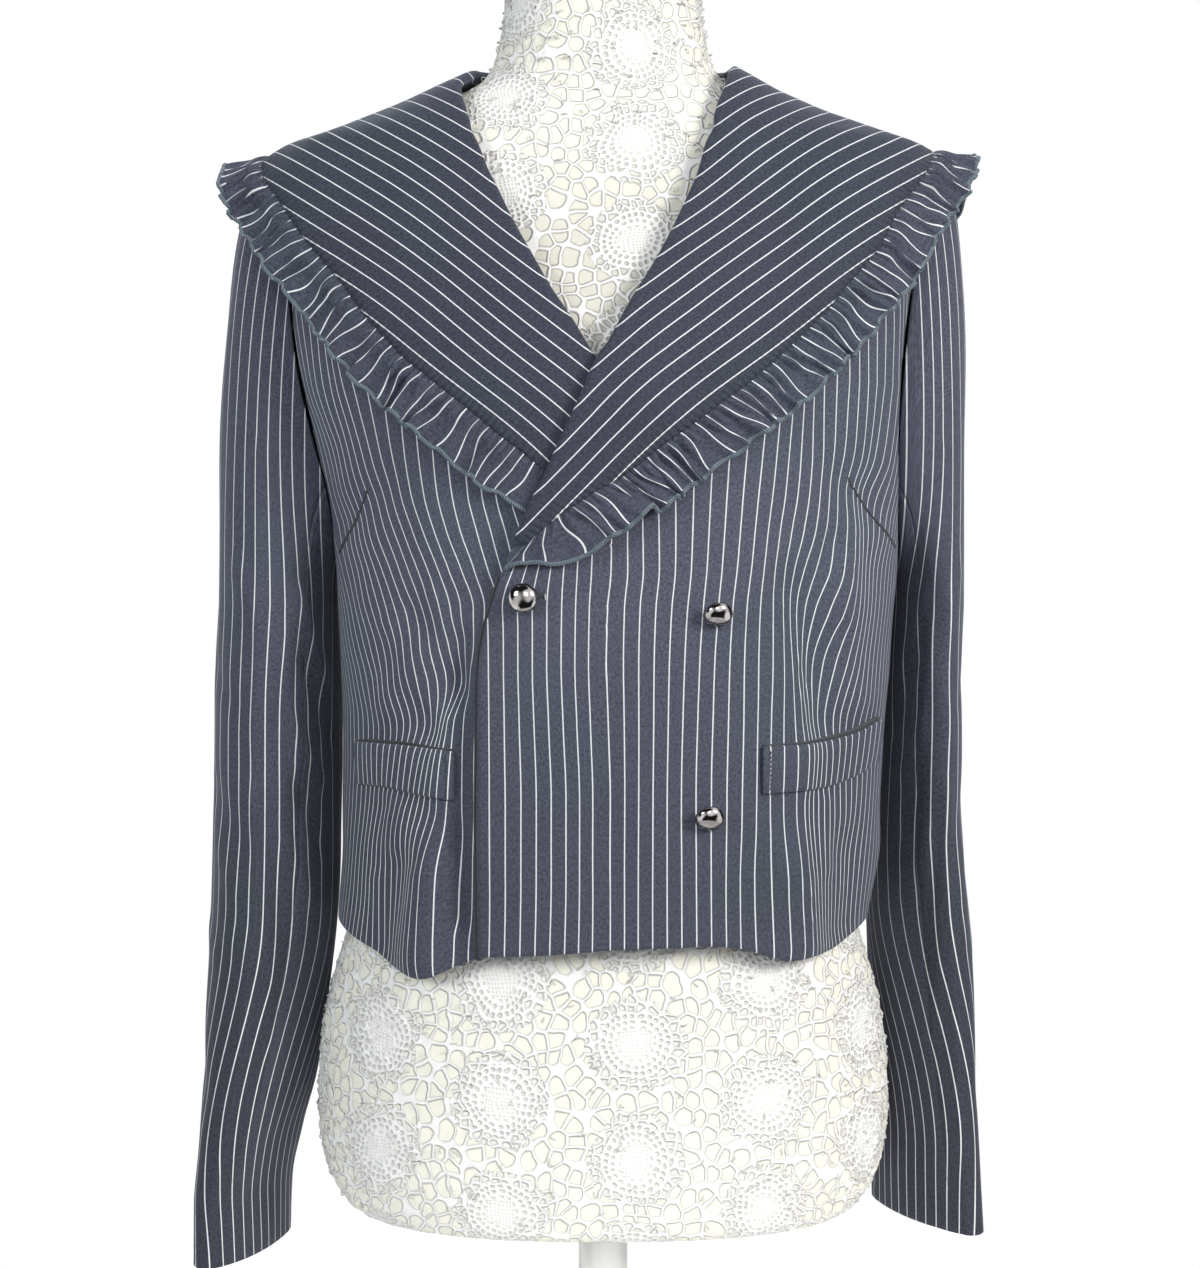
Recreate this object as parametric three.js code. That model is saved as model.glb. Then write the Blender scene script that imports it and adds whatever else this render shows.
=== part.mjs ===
// Cropped double-breasted blazer with a gathered ruffle on its wide collar, on a limbless dress form.
// Millimetres, +Z up. The wearer faces -Y, so the wearer's left side is +X and the right side is -X.
// The origin is the middle of the stand's underside.
import * as THREE from "three";

// ---- Driving dimensions ----
const CLOTH = 1.5; // thickness of the suiting
const RUFFLE_CLOTH = 1.0; // thickness of the single layer in the ruffles
const RUFFLE_SEAM = 0.8; // gap between the collar's outer edge and a ruffle
const SEAM = 0.3; // gap left between two pieces that are sewn together
const CURVED_SEAM = 1; // the same where both edges are curved
const RIM_LIFT = 1.4; // height of the sleeve's top edge over the armhole
const WELT_CLEARANCE = 0.8; // between a pocket welt and the front under it
const ROUNDNESS = 2.4; // exponent of the oval sections of body and form
const HEM_LEVEL = 250; // mean height of the hem
const FREE_HEM_TOP = 330; // height above which the hem's own line no longer shows
const SHOULDER_TIP = 683; // height of the shoulder points
const OVERLAP = { lift: 2.4, fadeFrom: 72, fadeTo: 100 }; // upper front over the lower one, by x
// Further lift of the upper front where it covers the lower collar: near a line down its fold.
const COLLAR_COVER = { lift: 4.4, x: -2, z: 562, runX: -44, runZ: -92, near: 20, far: 58 };
const ROLL_RADIUS = 2; // radius of the collar's fold, to the middle of its wall
const ROLL_SHARE = 0.24; // largest share of a rib's width that this radius may take
const RUFFLE_WIDTH = 26; // ruffle, from its seam to its serged edge
const WAVE_LENGTH = 8; // one gather
const WAVE_HEIGHT = 2.6; // half the swing of a gather at the free edge
const RUFFLE_RISE = 1.6; // mean height of the free edge over the collar's level
const RUFFLE_STRETCH = 1.13; // length of the collar's outer seam over the length of its middle
const BUTTON_RADIUS = 7.8;
const BUTTON_DOME = 4.6; // height of the domed button face
const BUTTON_RIM = 1.1; // thickness of the button's edge
const SHANK_RADIUS = 2.4;
const SHANK_HEIGHT = 2.8;
const STAND_RADIUS = 130;
const POLE_RADIUS = 14;
const BASE_HEIGHT = 12;

// ---- How finely the forms are divided ----
const FRONT_COLUMNS = 15;
const BACK_COLUMNS = 22;
const RIB_SPACING = 23; // largest distance between two ribs of the collar
const FALL_STEPS = 7; // steps of the collar from its fold to its outer seam
const RIB_STEPS = 24; // steps along which a rib's length is measured
const NECK_STEPS = 160;
const WAVE_STEPS = 3; // steps in one gather
const SLEEVE_ROWS = { head: 6, arm: 8 };
const SLEEVE_COLUMNS = { top: 18, under: 7 };
const WELT_STEPS = { along: 7, up: 2 };
const FORM_COLUMNS = 24;

// ---- Sections of the worn body, from hem to neck ----
// right, left: half widths; front, back: depths; capeRight, capeLeft: half widths of the form that
// the collar lies on, which clears the sleeve heads too.
const BODY = [
  { z: 225, right: 150, left: 148, front: 118, back: 100, capeRight: 150, capeLeft: 148 },
  { z: 250, right: 150, left: 149, front: 118, back: 100, capeRight: 150, capeLeft: 149 },
  { z: 300, right: 147, left: 157, front: 119, back: 96, capeRight: 147, capeLeft: 157 },
  { z: 350, right: 147, left: 158, front: 119, back: 94, capeRight: 147, capeLeft: 158 },
  { z: 400, right: 149, left: 162, front: 120, back: 94, capeRight: 149, capeLeft: 162 },
  { z: 450, right: 151, left: 167, front: 122, back: 98, capeRight: 151, capeLeft: 167 },
  { z: 483, right: 155, left: 168, front: 123, back: 102, capeRight: 155, capeLeft: 168 },
  { z: 529, right: 168, left: 170, front: 123, back: 106, capeRight: 170, capeLeft: 172 },
  { z: 563, right: 176, left: 173, front: 118, back: 108, capeRight: 183, capeLeft: 180 },
  { z: 600, right: 180, left: 177, front: 108, back: 107, capeRight: 198, capeLeft: 191 },
  { z: 630, right: 181, left: 180, front: 96, back: 103, capeRight: 210, capeLeft: 202 },
  { z: 660, right: 180, left: 180, front: 83, back: 96, capeRight: 206, capeLeft: 201 },
  { z: 683, right: 172, left: 176, front: 73, back: 88, capeRight: 183, capeLeft: 185 },
  { z: 695, right: 145, left: 146, front: 68, back: 81, capeRight: 149, capeLeft: 150 },
  { z: 706, right: 120, left: 120, front: 63, back: 74, capeRight: 121, capeLeft: 122 },
  { z: 717, right: 97, left: 96, front: 59, back: 67, capeRight: 97, capeLeft: 96 },
  { z: 728, right: 74, left: 73, front: 56, back: 61, capeRight: 74, capeLeft: 73 },
  { z: 736, right: 66, left: 66, front: 54, back: 57, capeRight: 66, capeLeft: 66 },
  { z: 748, right: 62, left: 62, front: 52, back: 55, capeRight: 62, capeLeft: 62 },
  { z: 765, right: 60, left: 60, front: 51, back: 54, capeRight: 60, capeLeft: 60 },
];

// Line of the hem on the front: x across, z height of the edge.
const FRONT_HEM = [
  { x: -150, z: 256 },
  { x: -131, z: 248 },
  { x: -112, z: 239 },
  { x: -95, z: 235 },
  { x: -76, z: 243 },
  { x: -62, z: 248 },
  { x: -30, z: 250 },
  { x: 8, z: 253 },
  { x: 55, z: 254 },
  { x: 75, z: 251 },
  { x: 98, z: 244 },
  { x: 122, z: 246 },
  { x: 150, z: 258 },
];

// Line of the hem on the back.
const BACK_HEM = [
  { x: -150, z: 256 },
  { x: -100, z: 249 },
  { x: -45, z: 245 },
  { x: 0, z: 248 },
  { x: 55, z: 244 },
  { x: 105, z: 250 },
  { x: 150, z: 258 },
];

// Free vertical edge of each front below its neckline: z height, x across.
const LEFT_EDGE = [
  { z: 225, x: -64 },
  { z: 278, x: -65 },
  { z: 382, x: -65 },
  { z: 405, x: -63.5 },
  { z: 418, x: -61 },
  { z: 433, x: -56 },
  { z: 450, x: -50 },
  { z: 466, x: -44 },
];
const RIGHT_EDGE = [
  { z: 225, x: 60 },
  { z: 420, x: 60 },
  { z: 455, x: 50 },
  { z: 485, x: 33 },
  { z: 512, x: 15 },
  { z: 526, x: 7 },
];

// Collar ribs from the front end to the shoulder and on to the middle of the back. rollX, rollZ: the
// fold; seamX, seamZ: the outer seam; stand: the part turned under, down to the neckline seam.
const RIGHT_RIBS = [
  { face: "front", rollX: -8, rollZ: 540, seamX: 22, seamZ: 496, stand: 9 },
  { face: "front", rollX: 3, rollZ: 557, seamX: 45, seamZ: 514, stand: 11 },
  { face: "front", rollX: 16, rollZ: 579, seamX: 66, seamZ: 531, stand: 12 },
  { face: "front", rollX: 29, rollZ: 599, seamX: 86, seamZ: 547, stand: 12 },
  { face: "front", rollX: 40, rollZ: 619, seamX: 106, seamZ: 564, stand: 12 },
  { face: "front", rollX: 51, rollZ: 640, seamX: 128, seamZ: 589, stand: 12 },
  { face: "front", rollX: 61.5, rollZ: 662, seamX: 149, seamZ: 616, stand: 12 },
  { face: "front", rollX: 69, rollZ: 681, seamX: 166, seamZ: 637, stand: 12 },
  { face: "front", rollX: 75, rollZ: 700, seamX: 178, seamZ: 655, stand: 12 },
  { face: "front", rollX: 78, rollZ: 719, seamX: 187, seamZ: 671, stand: 13 },
  { face: "back", rollX: 70, rollZ: 732, seamX: 191, seamZ: 682, stand: 15 },
  { face: "back", rollX: 60, rollZ: 738, seamX: 178, seamZ: 657, stand: 20 },
  { face: "back", rollX: 45, rollZ: 741, seamX: 150, seamZ: 630, stand: 25 },
  { face: "back", rollX: 23, rollZ: 743, seamX: 105, seamZ: 604, stand: 28 },
  { face: "back", rollX: 0, rollZ: 744, seamX: 0, seamZ: 590, stand: 29 },
];
const LEFT_RIBS = [
  { face: "front", rollX: -44, rollZ: 466, seamX: -39, seamZ: 462, stand: 4 },
  { face: "front", rollX: -38, rollZ: 481, seamX: -26, seamZ: 475, stand: 5 },
  { face: "front", rollX: -30, rollZ: 497, seamX: -12, seamZ: 485, stand: 8 },
  { face: "front", rollX: -21, rollZ: 518, seamX: 8, seamZ: 497, stand: 11 },
  { face: "front", rollX: -11, rollZ: 539, seamX: 27, seamZ: 512, stand: 12 },
  { face: "front", rollX: 0, rollZ: 561, seamX: 53, seamZ: 531, stand: 12 },
  { face: "front", rollX: 14, rollZ: 586, seamX: 76, seamZ: 548, stand: 12 },
  { face: "front", rollX: 27, rollZ: 609, seamX: 98, seamZ: 568, stand: 12 },
  { face: "front", rollX: 38, rollZ: 630, seamX: 116, seamZ: 586, stand: 12 },
  { face: "front", rollX: 49, rollZ: 655, seamX: 137, seamZ: 611, stand: 12 },
  { face: "front", rollX: 56, rollZ: 678, seamX: 156, seamZ: 640, stand: 12 },
  { face: "front", rollX: 62, rollZ: 700, seamX: 172, seamZ: 662, stand: 12 },
  { face: "front", rollX: 68, rollZ: 720, seamX: 181, seamZ: 678, stand: 13 },
  { face: "back", rollX: 69, rollZ: 732, seamX: 188, seamZ: 684, stand: 15 },
  { face: "back", rollX: 60, rollZ: 738, seamX: 176, seamZ: 659, stand: 20 },
  { face: "back", rollX: 45, rollZ: 741, seamX: 148, seamZ: 631, stand: 25 },
  { face: "back", rollX: 23, rollZ: 743, seamX: 104, seamZ: 605, stand: 28 },
  { face: "back", rollX: 0, rollZ: 744, seamX: 0, seamZ: 590, stand: 29 },
];

// Folds of the body: a straight line from (x1, z1) to (x2, z2) seen from the front or back, its half
// width and its height, which is negative for a trough.
const FOLDS = [
  { face: "front", x1: -97, z1: 232, x2: -88, z2: 308, half: 13, height: 7 },
  { face: "front", x1: -122, z1: 240, x2: -108, z2: 306, half: 11, height: -4 },
  { face: "front", x1: -78, z1: 242, x2: -80, z2: 318, half: 8, height: -3 },
  { face: "front", x1: 100, z1: 238, x2: 103, z2: 308, half: 14, height: 6 },
  { face: "front", x1: 74, z1: 244, x2: 80, z2: 306, half: 11, height: -3 },
  { face: "front", x1: 130, z1: 250, x2: 128, z2: 310, half: 10, height: -3 },
  { face: "front", x1: -98, z1: 362, x2: -74, z2: 402, half: 9, height: -3 },
  { face: "front", x1: -118, z1: 372, x2: -84, z2: 418, half: 10, height: 3 },
  { face: "front", x1: 116, z1: 362, x2: 96, z2: 452, half: 11, height: -4 },
  { face: "front", x1: 138, z1: 372, x2: 124, z2: 456, half: 11, height: 3 },
  { face: "front", x1: -142, z1: 470, x2: -112, z2: 500, half: 12, height: -3 },
  { face: "front", x1: 152, z1: 476, x2: 124, z2: 506, half: 12, height: -3 },
  { face: "back", x1: -60, z1: 240, x2: -48, z2: 380, half: 15, height: 6 },
  { face: "back", x1: 62, z1: 238, x2: 50, z2: 372, half: 15, height: 6 },
  { face: "back", x1: -104, z1: 240, x2: -92, z2: 350, half: 13, height: -4 },
  { face: "back", x1: 108, z1: 240, x2: 94, z2: 344, half: 13, height: -4 },
  { face: "back", x1: 2, z1: 238, x2: 0, z2: 360, half: 14, height: -3 },
  { face: "back", x1: -128, z1: 470, x2: -70, z2: 520, half: 15, height: -4 },
  { face: "back", x1: 130, z1: 472, x2: 72, z2: 524, half: 15, height: -4 },
];

// Armhole: an egg standing on the side of the body, wider below its middle.
const ARMHOLE = { middle: 567, halfHeight: 116, front: 46, back: 50, egg: 0.25 };

// How the sleeve head leaves the armhole, by the angle from its crown (0) to the underarm (180): out,
// fore: sideways and forward reach; drop: fall of that reach; rise: length of the run down the sleeve.
const SLEEVE_HEAD = [
  { angle: 0, out: 36, fore: 0, drop: -3, rise: 190 },
  { angle: 45, out: 27, fore: 5, drop: 6, rise: 120 },
  { angle: 90, out: 14, fore: 7, drop: 24, rise: 66 },
  { angle: 135, out: 6, fore: 3, drop: 14, rise: 26 },
  { angle: 180, out: 2.4, fore: 0, drop: 6, rise: 6 },
];

// Level sections of the sleeves: x, y: centre; wide, deep: half sizes; turn: degrees that the front
// edge points outwards.
const RIGHT_SLEEVE = [
  { z: 430, x: 186, y: 8, wide: 32, deep: 57, turn: 0 },
  { z: 375, x: 186.5, y: 10, wide: 34, deep: 57, turn: 2 },
  { z: 290, x: 187, y: 10, wide: 34, deep: 56, turn: 5 },
  { z: 205, x: 192, y: 8, wide: 30, deep: 53, turn: 11 },
  { z: 160, x: 196, y: 6, wide: 26, deep: 51, turn: 15 },
  { z: 125, x: 201, y: 4, wide: 19, deep: 50, turn: 18 },
  { z: 95, x: 205, y: 2, wide: 15, deep: 48, turn: 20 },
  { z: 64, x: 205.5, y: 1, wide: 14.5, deep: 47, turn: 20 },
];
const LEFT_SLEEVE = [
  { z: 430, x: 185, y: 23, wide: 18.5, deep: 60, turn: 5 },
  { z: 375, x: 181.5, y: 30, wide: 19.5, deep: 62, turn: 8 },
  { z: 300, x: 181, y: 34, wide: 20, deep: 60, turn: 11 },
  { z: 240, x: 184, y: 34, wide: 21, deep: 57, turn: 14 },
  { z: 205, x: 185, y: 31, wide: 21, deep: 55, turn: 16 },
  { z: 160, x: 185, y: 25, wide: 19, deep: 53, turn: 20 },
  { z: 110, x: 186, y: 19, wide: 16, deep: 50, turn: 25 },
  { z: 78, x: 187, y: 17, wide: 14.5, deep: 49, turn: 27 },
];

// Folds of the sleeves: from (angle, z) to (angle, z), half width and height.
const SLEEVE_FOLDS = [
  { from: 60, z1: 455, to: 100, z2: 400, half: 10, height: -3 },
  { from: 120, z1: 430, to: 80, z2: 350, half: 11, height: -3 },
  { from: 30, z1: 330, to: 95, z2: 290, half: 11, height: 2.5 },
  { from: 70, z1: 250, to: 130, z2: 215, half: 10, height: -2.5 },
  { from: 10, z1: 190, to: 70, z2: 150, half: 12, height: 2 },
  { from: 250, z1: 440, to: 300, z2: 380, half: 12, height: -3 },
  { from: 230, z1: 330, to: 290, z2: 300, half: 12, height: 2.5 },
  { from: 250, z1: 240, to: 320, z2: 200, half: 11, height: -2.5 },
];
const UNDERARM_SEAMS = { front: 128, back: 225 }; // angles of the sleeve's two long seams

// Sections of the dress form. It touches nothing but carries the shoulders of the blazer.
const FORM = [
  { z: 89, side: 128, front: 78, back: 80 },
  { z: 91, side: 138, front: 86, back: 88 },
  { z: 100, side: 148, front: 92, back: 95 },
  { z: 122, side: 158, front: 99, back: 103 },
  { z: 150, side: 161, front: 103, back: 107 },
  { z: 188, side: 159, front: 105, back: 108 },
  { z: 215, side: 154, front: 104, back: 104 },
  { z: 250, side: 144, front: 101, back: 95 },
  { z: 300, side: 136, front: 92, back: 86 },
  { z: 360, side: 122, front: 82, back: 74 },
  { z: 400, side: 124, front: 88, back: 75 },
  { z: 450, side: 134, front: 99, back: 82 },
  { z: 500, side: 143, front: 109, back: 90 },
  { z: 545, side: 150, front: 113, back: 95 },
  { z: 590, side: 158, front: 104, back: 98 },
  { z: 630, side: 163, front: 87, back: 95 },
  { z: 662, side: 165, front: 75, back: 88 },
  { z: 680, side: 160, front: 68, back: 81 },
  { z: 691.5, side: 141, front: 64, back: 77 },
  { z: 702.5, side: 117, front: 59, back: 70 },
  { z: 713.5, side: 91, front: 54, back: 63 },
  { z: 724.5, side: 70, front: 51, back: 57 },
  { z: 734, side: 63, front: 51.5, back: 54 },
  { z: 748, side: 59, front: 49.5, back: 52 },
  { z: 770, side: 56, front: 48, back: 51 },
  { z: 800, side: 55, front: 48, back: 51 },
];

// Pocket welts on the fronts: x across, upper and lower height; gape: how far the upper edge stands off.
const RIGHT_WELT = [
  { x: -132, upper: 356, lower: 334, gape: 0 },
  { x: -119, upper: 356.5, lower: 334.5, gape: 0.6 },
  { x: -106, upper: 356.5, lower: 333, gape: 1.4 },
  { x: -93, upper: 355.5, lower: 331, gape: 0.8 },
  { x: -80, upper: 354, lower: 329, gape: 0 },
];
const LEFT_WELT = [
  { x: 83, upper: 357, lower: 333, gape: 0 },
  { x: 100, upper: 357, lower: 333.5, gape: 0.8 },
  { x: 117, upper: 358.5, lower: 335, gape: 1.4 },
  { x: 133, upper: 362, lower: 338.5, gape: 1 },
  { x: 149, upper: 368, lower: 344.5, gape: 0 },
];

// Buttons on the left front: place, how many degrees the face nods down, and how far the cloth
// gives under the shank.
const BUTTONS = [
  { name: "button_wrap", x: -40, z: 436, nod: 4, sink: 0.6 },
  { name: "button_upper", x: 58, z: 429.5, nod: 14, sink: 0 },
  { name: "button_lower", x: 54, z: 323.5, nod: 14, sink: 0 },
];

// ---- Small helpers ----
const degrees = (angle) => (angle * Math.PI) / 180;
const mix = (a, b, t) => a + (b - a) * t;
const clamp = (value, low, high) => Math.min(high, Math.max(low, value));
const smooth = (value, from, to) => {
  const t = clamp((value - from) / (to - from), 0, 1);
  return t * t * (3 - 2 * t);
};

// Smooth value of one column at a place along the key column, with no overshoot between rows.
function readTable(rows, key, at, column) {
  const last = rows.length - 1;
  if (at <= rows[0][key]) return rows[0][column];
  if (at >= rows[last][key]) return rows[last][column];
  const slope = (i) => (rows[i + 1][column] - rows[i][column]) / (rows[i + 1][key] - rows[i][key]);
  const tangent = (i) => {
    if (i === 0) return slope(0);
    if (i === last) return slope(last - 1);
    const before = slope(i - 1);
    const after = slope(i);
    return before * after <= 0 ? 0 : (2 * before * after) / (before + after);
  };
  const i = rows.findIndex((row) => row[key] > at) - 1;
  const span = rows[i + 1][key] - rows[i][key];
  const t = (at - rows[i][key]) / span;
  const start = (2 * t - 3) * t * t + 1;
  const end = 1 - start;
  const startSlope = (t - 2) * t * t + t;
  const endSlope = (t - 1) * t * t;
  const turned = span * (startSlope * tangent(i) + endSlope * tangent(i + 1));
  return start * rows[i][column] + end * rows[i + 1][column] + turned;
}

// Distance from (x, z) to the line of a fold, and the share of its height left at that place.
function foldShare(x, z, x1, z1, x2, z2, half) {
  const length = Math.hypot(x2 - x1, z2 - z1);
  const along = ((x - x1) * (x2 - x1) + (z - z1) * (z2 - z1)) / length;
  const across = ((x - x1) * (z2 - z1) - (z - z1) * (x2 - x1)) / length;
  const ends = smooth(along, -half, half) * (1 - smooth(along, length - 1.6 * half, length + half));
  return Math.exp(-((across / half) ** 2)) * ends;
}

// ---- The worn body as a surface: angle 0 is the middle of the front, +90 the wearer's left ----
const bulge = (value) => Math.sign(value) * Math.abs(value) ** (2 / ROUNDNESS);

function halfWidth(z, x, cape) {
  const onLeft = x >= 0;
  if (cape) return readTable(BODY, "z", z, onLeft ? "capeLeft" : "capeRight");
  return readTable(BODY, "z", z, onLeft ? "left" : "right");
}

function surface(angle, z, cape) {
  const sideways = Math.sin(angle);
  const forward = Math.cos(angle);
  const depth = readTable(BODY, "z", z, forward >= 0 ? "front" : "back");
  return new THREE.Vector3(halfWidth(z, sideways, cape) * bulge(sideways), -depth * bulge(forward), z);
}

function surfaceNormal(angle, z, cape) {
  const step = 0.01;
  const around = surface(angle + step, z, cape).sub(surface(angle - step, z, cape));
  const up = surface(angle, z + 1, cape).sub(surface(angle, z - 1, cape));
  return around.cross(up).normalize();
}

// Point at a height above that surface, along its outward normal.
function above(angle, z, height, cape = false) {
  return surface(angle, z, cape).addScaledVector(surfaceNormal(angle, z, cape), height);
}

// Angle, for one side (+1 the wearer's left, -1 the right), of a place given by its reach towards
// that side. It runs from 0 at the front to pi at the back, and is negative past the middle.
function reachAngle(side, reach, z, face, cape = false) {
  const share = clamp(Math.abs(reach) / halfWidth(z, side * reach, cape), 0, 1);
  const angle = Math.asin(share ** (ROUNDNESS / 2)) * Math.sign(reach);
  return face === "front" ? angle : Math.PI - angle;
}

// The same for a place given by its depth in front of, or behind, the side line.
function depthAngle(depth, z, face) {
  const share = clamp(depth / readTable(BODY, "z", z, face), 0, 1);
  const angle = Math.acos(share ** (ROUNDNESS / 2));
  return face === "front" ? angle : Math.PI - angle;
}

// Angle that lies a share of the way round a level section, measured along its curve.
function angleAlong(from, to, z, share) {
  const steps = 20;
  const run = [0];
  for (let k = 1; k <= steps; k += 1) {
    const here = surface(mix(from, to, k / steps), z, false);
    run.push(run[k - 1] + here.distanceTo(surface(mix(from, to, (k - 1) / steps), z, false)));
  }
  const wanted = share * run[steps];
  const k = clamp(run.findIndex((length) => length >= wanted), 1, steps);
  const part = (wanted - run[k - 1]) / (run[k] - run[k - 1]);
  return mix(from, to, (k - 1 + part) / steps);
}

// Height of all the body folds together at a place of the surface.
function foldHeight(angle, z) {
  const x = surface(angle, z, false).x;
  const face = Math.cos(angle) >= 0 ? "front" : "back";
  const near = FOLDS.filter((fold) => fold.face === face);
  const share = (fold) => foldShare(x, z, fold.x1, fold.z1, fold.x2, fold.z2, fold.half);
  const sum = near.reduce((total, fold) => total + fold.height * share(fold), 0);
  return sum * smooth(Math.abs(Math.cos(angle)), 0.05, 0.35);
}

// Lift of the upper front: over the lower front, and more over the lower collar.
function overlapLift(x, z) {
  const overFront = OVERLAP.lift * (1 - smooth(x, OVERLAP.fadeFrom, OVERLAP.fadeTo));
  const { runX, runZ, near, far } = COLLAR_COVER;
  const [fromX, fromZ] = [x - COLLAR_COVER.x, z - COLLAR_COVER.z];
  const t = clamp((fromX * runX + fromZ * runZ) / (runX ** 2 + runZ ** 2), 0, 1);
  const distance = Math.hypot(fromX - t * runX, fromZ - t * runZ);
  return overFront + COLLAR_COVER.lift * (1 - smooth(distance, near, far));
}

// Height of a front's outer face over the worn body.
function frontHeight(side, angle, z) {
  const folds = foldHeight(angle, z);
  return side > 0 ? folds + overlapLift(surface(angle, z, false).x, z) : folds;
}

// ---- Closed walls ----
// Joins two grids of points, outer and inner, into one closed wall, its faces turned outwards.
function wall(outer, inner) {
  const rows = outer.length;
  const columns = outer[0].length;
  const at = (layer, i, j) => (layer * rows + i) * columns + j;
  const faces = [];
  const quad = (a, b, c, d) => faces.push([a, b, c], [a, c, d]);
  for (let i = 0; i < rows - 1; i += 1) {
    for (let j = 0; j < columns - 1; j += 1) {
      quad(at(0, i, j), at(0, i, j + 1), at(0, i + 1, j + 1), at(0, i + 1, j));
      quad(at(1, i, j), at(1, i + 1, j), at(1, i + 1, j + 1), at(1, i, j + 1));
    }
  }
  for (let j = 0; j < columns - 1; j += 1) {
    quad(at(0, 0, j), at(1, 0, j), at(1, 0, j + 1), at(0, 0, j + 1));
    quad(at(0, rows - 1, j), at(0, rows - 1, j + 1), at(1, rows - 1, j + 1), at(1, rows - 1, j));
  }
  for (let i = 0; i < rows - 1; i += 1) {
    quad(at(0, i, 0), at(0, i + 1, 0), at(1, i + 1, 0), at(1, i, 0));
    quad(at(0, i, columns - 1), at(1, i, columns - 1), at(1, i + 1, columns - 1), at(0, i + 1, columns - 1));
  }
  return closedGeometry([...outer.flat(), ...inner.flat()], faces);
}

// A closed body from points and triangles. The triangles turn outwards if its volume is negative.
function closedGeometry(points, faces) {
  const share = ([a, b, c]) => points[a].dot(new THREE.Vector3().crossVectors(points[b], points[c]));
  const volume = faces.reduce((total, face) => total + share(face), 0);
  const turned = volume < 0 ? faces.map(([a, b, c]) => [a, c, b]) : faces;
  const geometry = new THREE.BufferGeometry().setFromPoints(points);
  geometry.setIndex(turned.flat());
  geometry.computeVertexNormals();
  return geometry;
}

// A solid through closed rings of points, with a flat cap at each end.
function loft(rings) {
  const columns = rings[0].length;
  const faces = [];
  rings.slice(1).forEach((_, i) => {
    for (let j = 0; j < columns; j += 1) {
      const next = (j + 1) % columns;
      const [a, b] = [i * columns + j, i * columns + next];
      faces.push([a, b, b + columns], [a, b + columns, a + columns]);
    }
  });
  const points = rings.flat();
  const cap = (ring, start, flip) => {
    const centre = points.length;
    points.push(ring.reduce((sum, p) => sum.add(p), new THREE.Vector3()).divideScalar(columns));
    for (let j = 0; j < columns; j += 1) {
      const [a, b] = [start + j, start + ((j + 1) % columns)];
      faces.push(flip ? [b, a, centre] : [a, b, centre]);
    }
  };
  cap(rings[0], 0, true);
  cap(rings[rings.length - 1], (rings.length - 1) * columns, false);
  return closedGeometry(points, faces);
}

// Values of a function on a grid of rows and columns, both given to it as shares from 0 to 1.
function grid(rows, columns, point) {
  const row = (i) => Array.from({ length: columns + 1 }, (_, j) => point(i / rows, j / columns));
  return Array.from({ length: rows + 1 }, (_, i) => row(i));
}

// ---- Collar: ribs run from its fold to its outer seam ----
// The whole collar is one row of ribs, from the left front end round the neck to the right one.
// Angles go on past pi on the right side, so that they grow all the way.
function collarRib(row, side) {
  const roll = reachAngle(side, row.rollX, row.rollZ, row.face, true);
  const seam = reachAngle(side, row.seamX, row.seamZ, row.face, true);
  const turn = (angle) => (side > 0 ? angle : 2 * Math.PI - angle);
  return { roll: turn(roll), rollZ: row.rollZ, seam: turn(seam), seamZ: row.seamZ, stand: row.stand };
}

function measureRibs(ribs) {
  const middle = (rib) => surface((rib.roll + rib.seam) / 2, (rib.rollZ + rib.seamZ) / 2, true);
  let distance = 0;
  return ribs.map((rib, i) => {
    if (i > 0) distance += middle(rib).distanceTo(middle(ribs[i - 1]));
    return { ...rib, distance };
  });
}

const RIBS = measureRibs([
  ...LEFT_RIBS.map((row) => collarRib(row, 1)),
  ...RIGHT_RIBS.slice(0, -1).reverse().map((row) => collarRib(row, -1)),
]);
const COLLAR_LENGTH = RIBS[RIBS.length - 1].distance;
const BACK_MIDDLE = RIBS[LEFT_RIBS.length - 1].distance;

// Distances of the collar's ribs: those of the tables, and even steps between them.
const RIB_DISTANCES = [0];
RIBS.slice(1).forEach(({ distance }, i) => {
  const before = RIBS[i].distance;
  const steps = Math.ceil((distance - before) / RIB_SPACING);
  for (let k = 1; k <= steps; k += 1) RIB_DISTANCES.push(mix(before, distance, k / steps));
});

// The rib at a distance along the collar, with its lengths from fold to seam in even shares.
function ribAt(distance) {
  const rib = {};
  ["roll", "rollZ", "seam", "seamZ", "stand"].forEach((column) => {
    rib[column] = readTable(RIBS, "distance", distance, column);
  });
  const place = (share) => surface(mix(rib.roll, rib.seam, share), mix(rib.rollZ, rib.seamZ, share), true);
  rib.run = [{ share: 0, length: 0 }];
  for (let k = 1; k <= RIB_STEPS; k += 1) {
    const step = place(k / RIB_STEPS).distanceTo(place((k - 1) / RIB_STEPS));
    rib.run.push({ share: k / RIB_STEPS, length: rib.run[k - 1].length + step });
  }
  rib.width = rib.run[RIB_STEPS].length;
  rib.radius = Math.min(ROLL_RADIUS, ROLL_SHARE * rib.width);
  return rib;
}

// Point of the collar's form at a distance from the fold along a rib, and at a height above it.
function ribPoint(rib, fromFold, height) {
  const found = rib.run.findIndex((step) => step.length > fromFold);
  const k = found < 0 ? RIB_STEPS : Math.max(found, 1);
  const [before, after] = [rib.run[k - 1], rib.run[k]];
  const part = (fromFold - before.length) / (after.length - before.length);
  const share = mix(before.share, after.share, part);
  return above(mix(rib.roll, rib.seam, share), mix(rib.rollZ, rib.seamZ, share), height, true);
}

// Lift of the collar: its left end lies on the upper front.
const collarLift = (distance, point) =>
  (distance < BACK_MIDDLE && point.y < 0 ? overlapLift(point.x, point.z) : 0);

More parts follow.
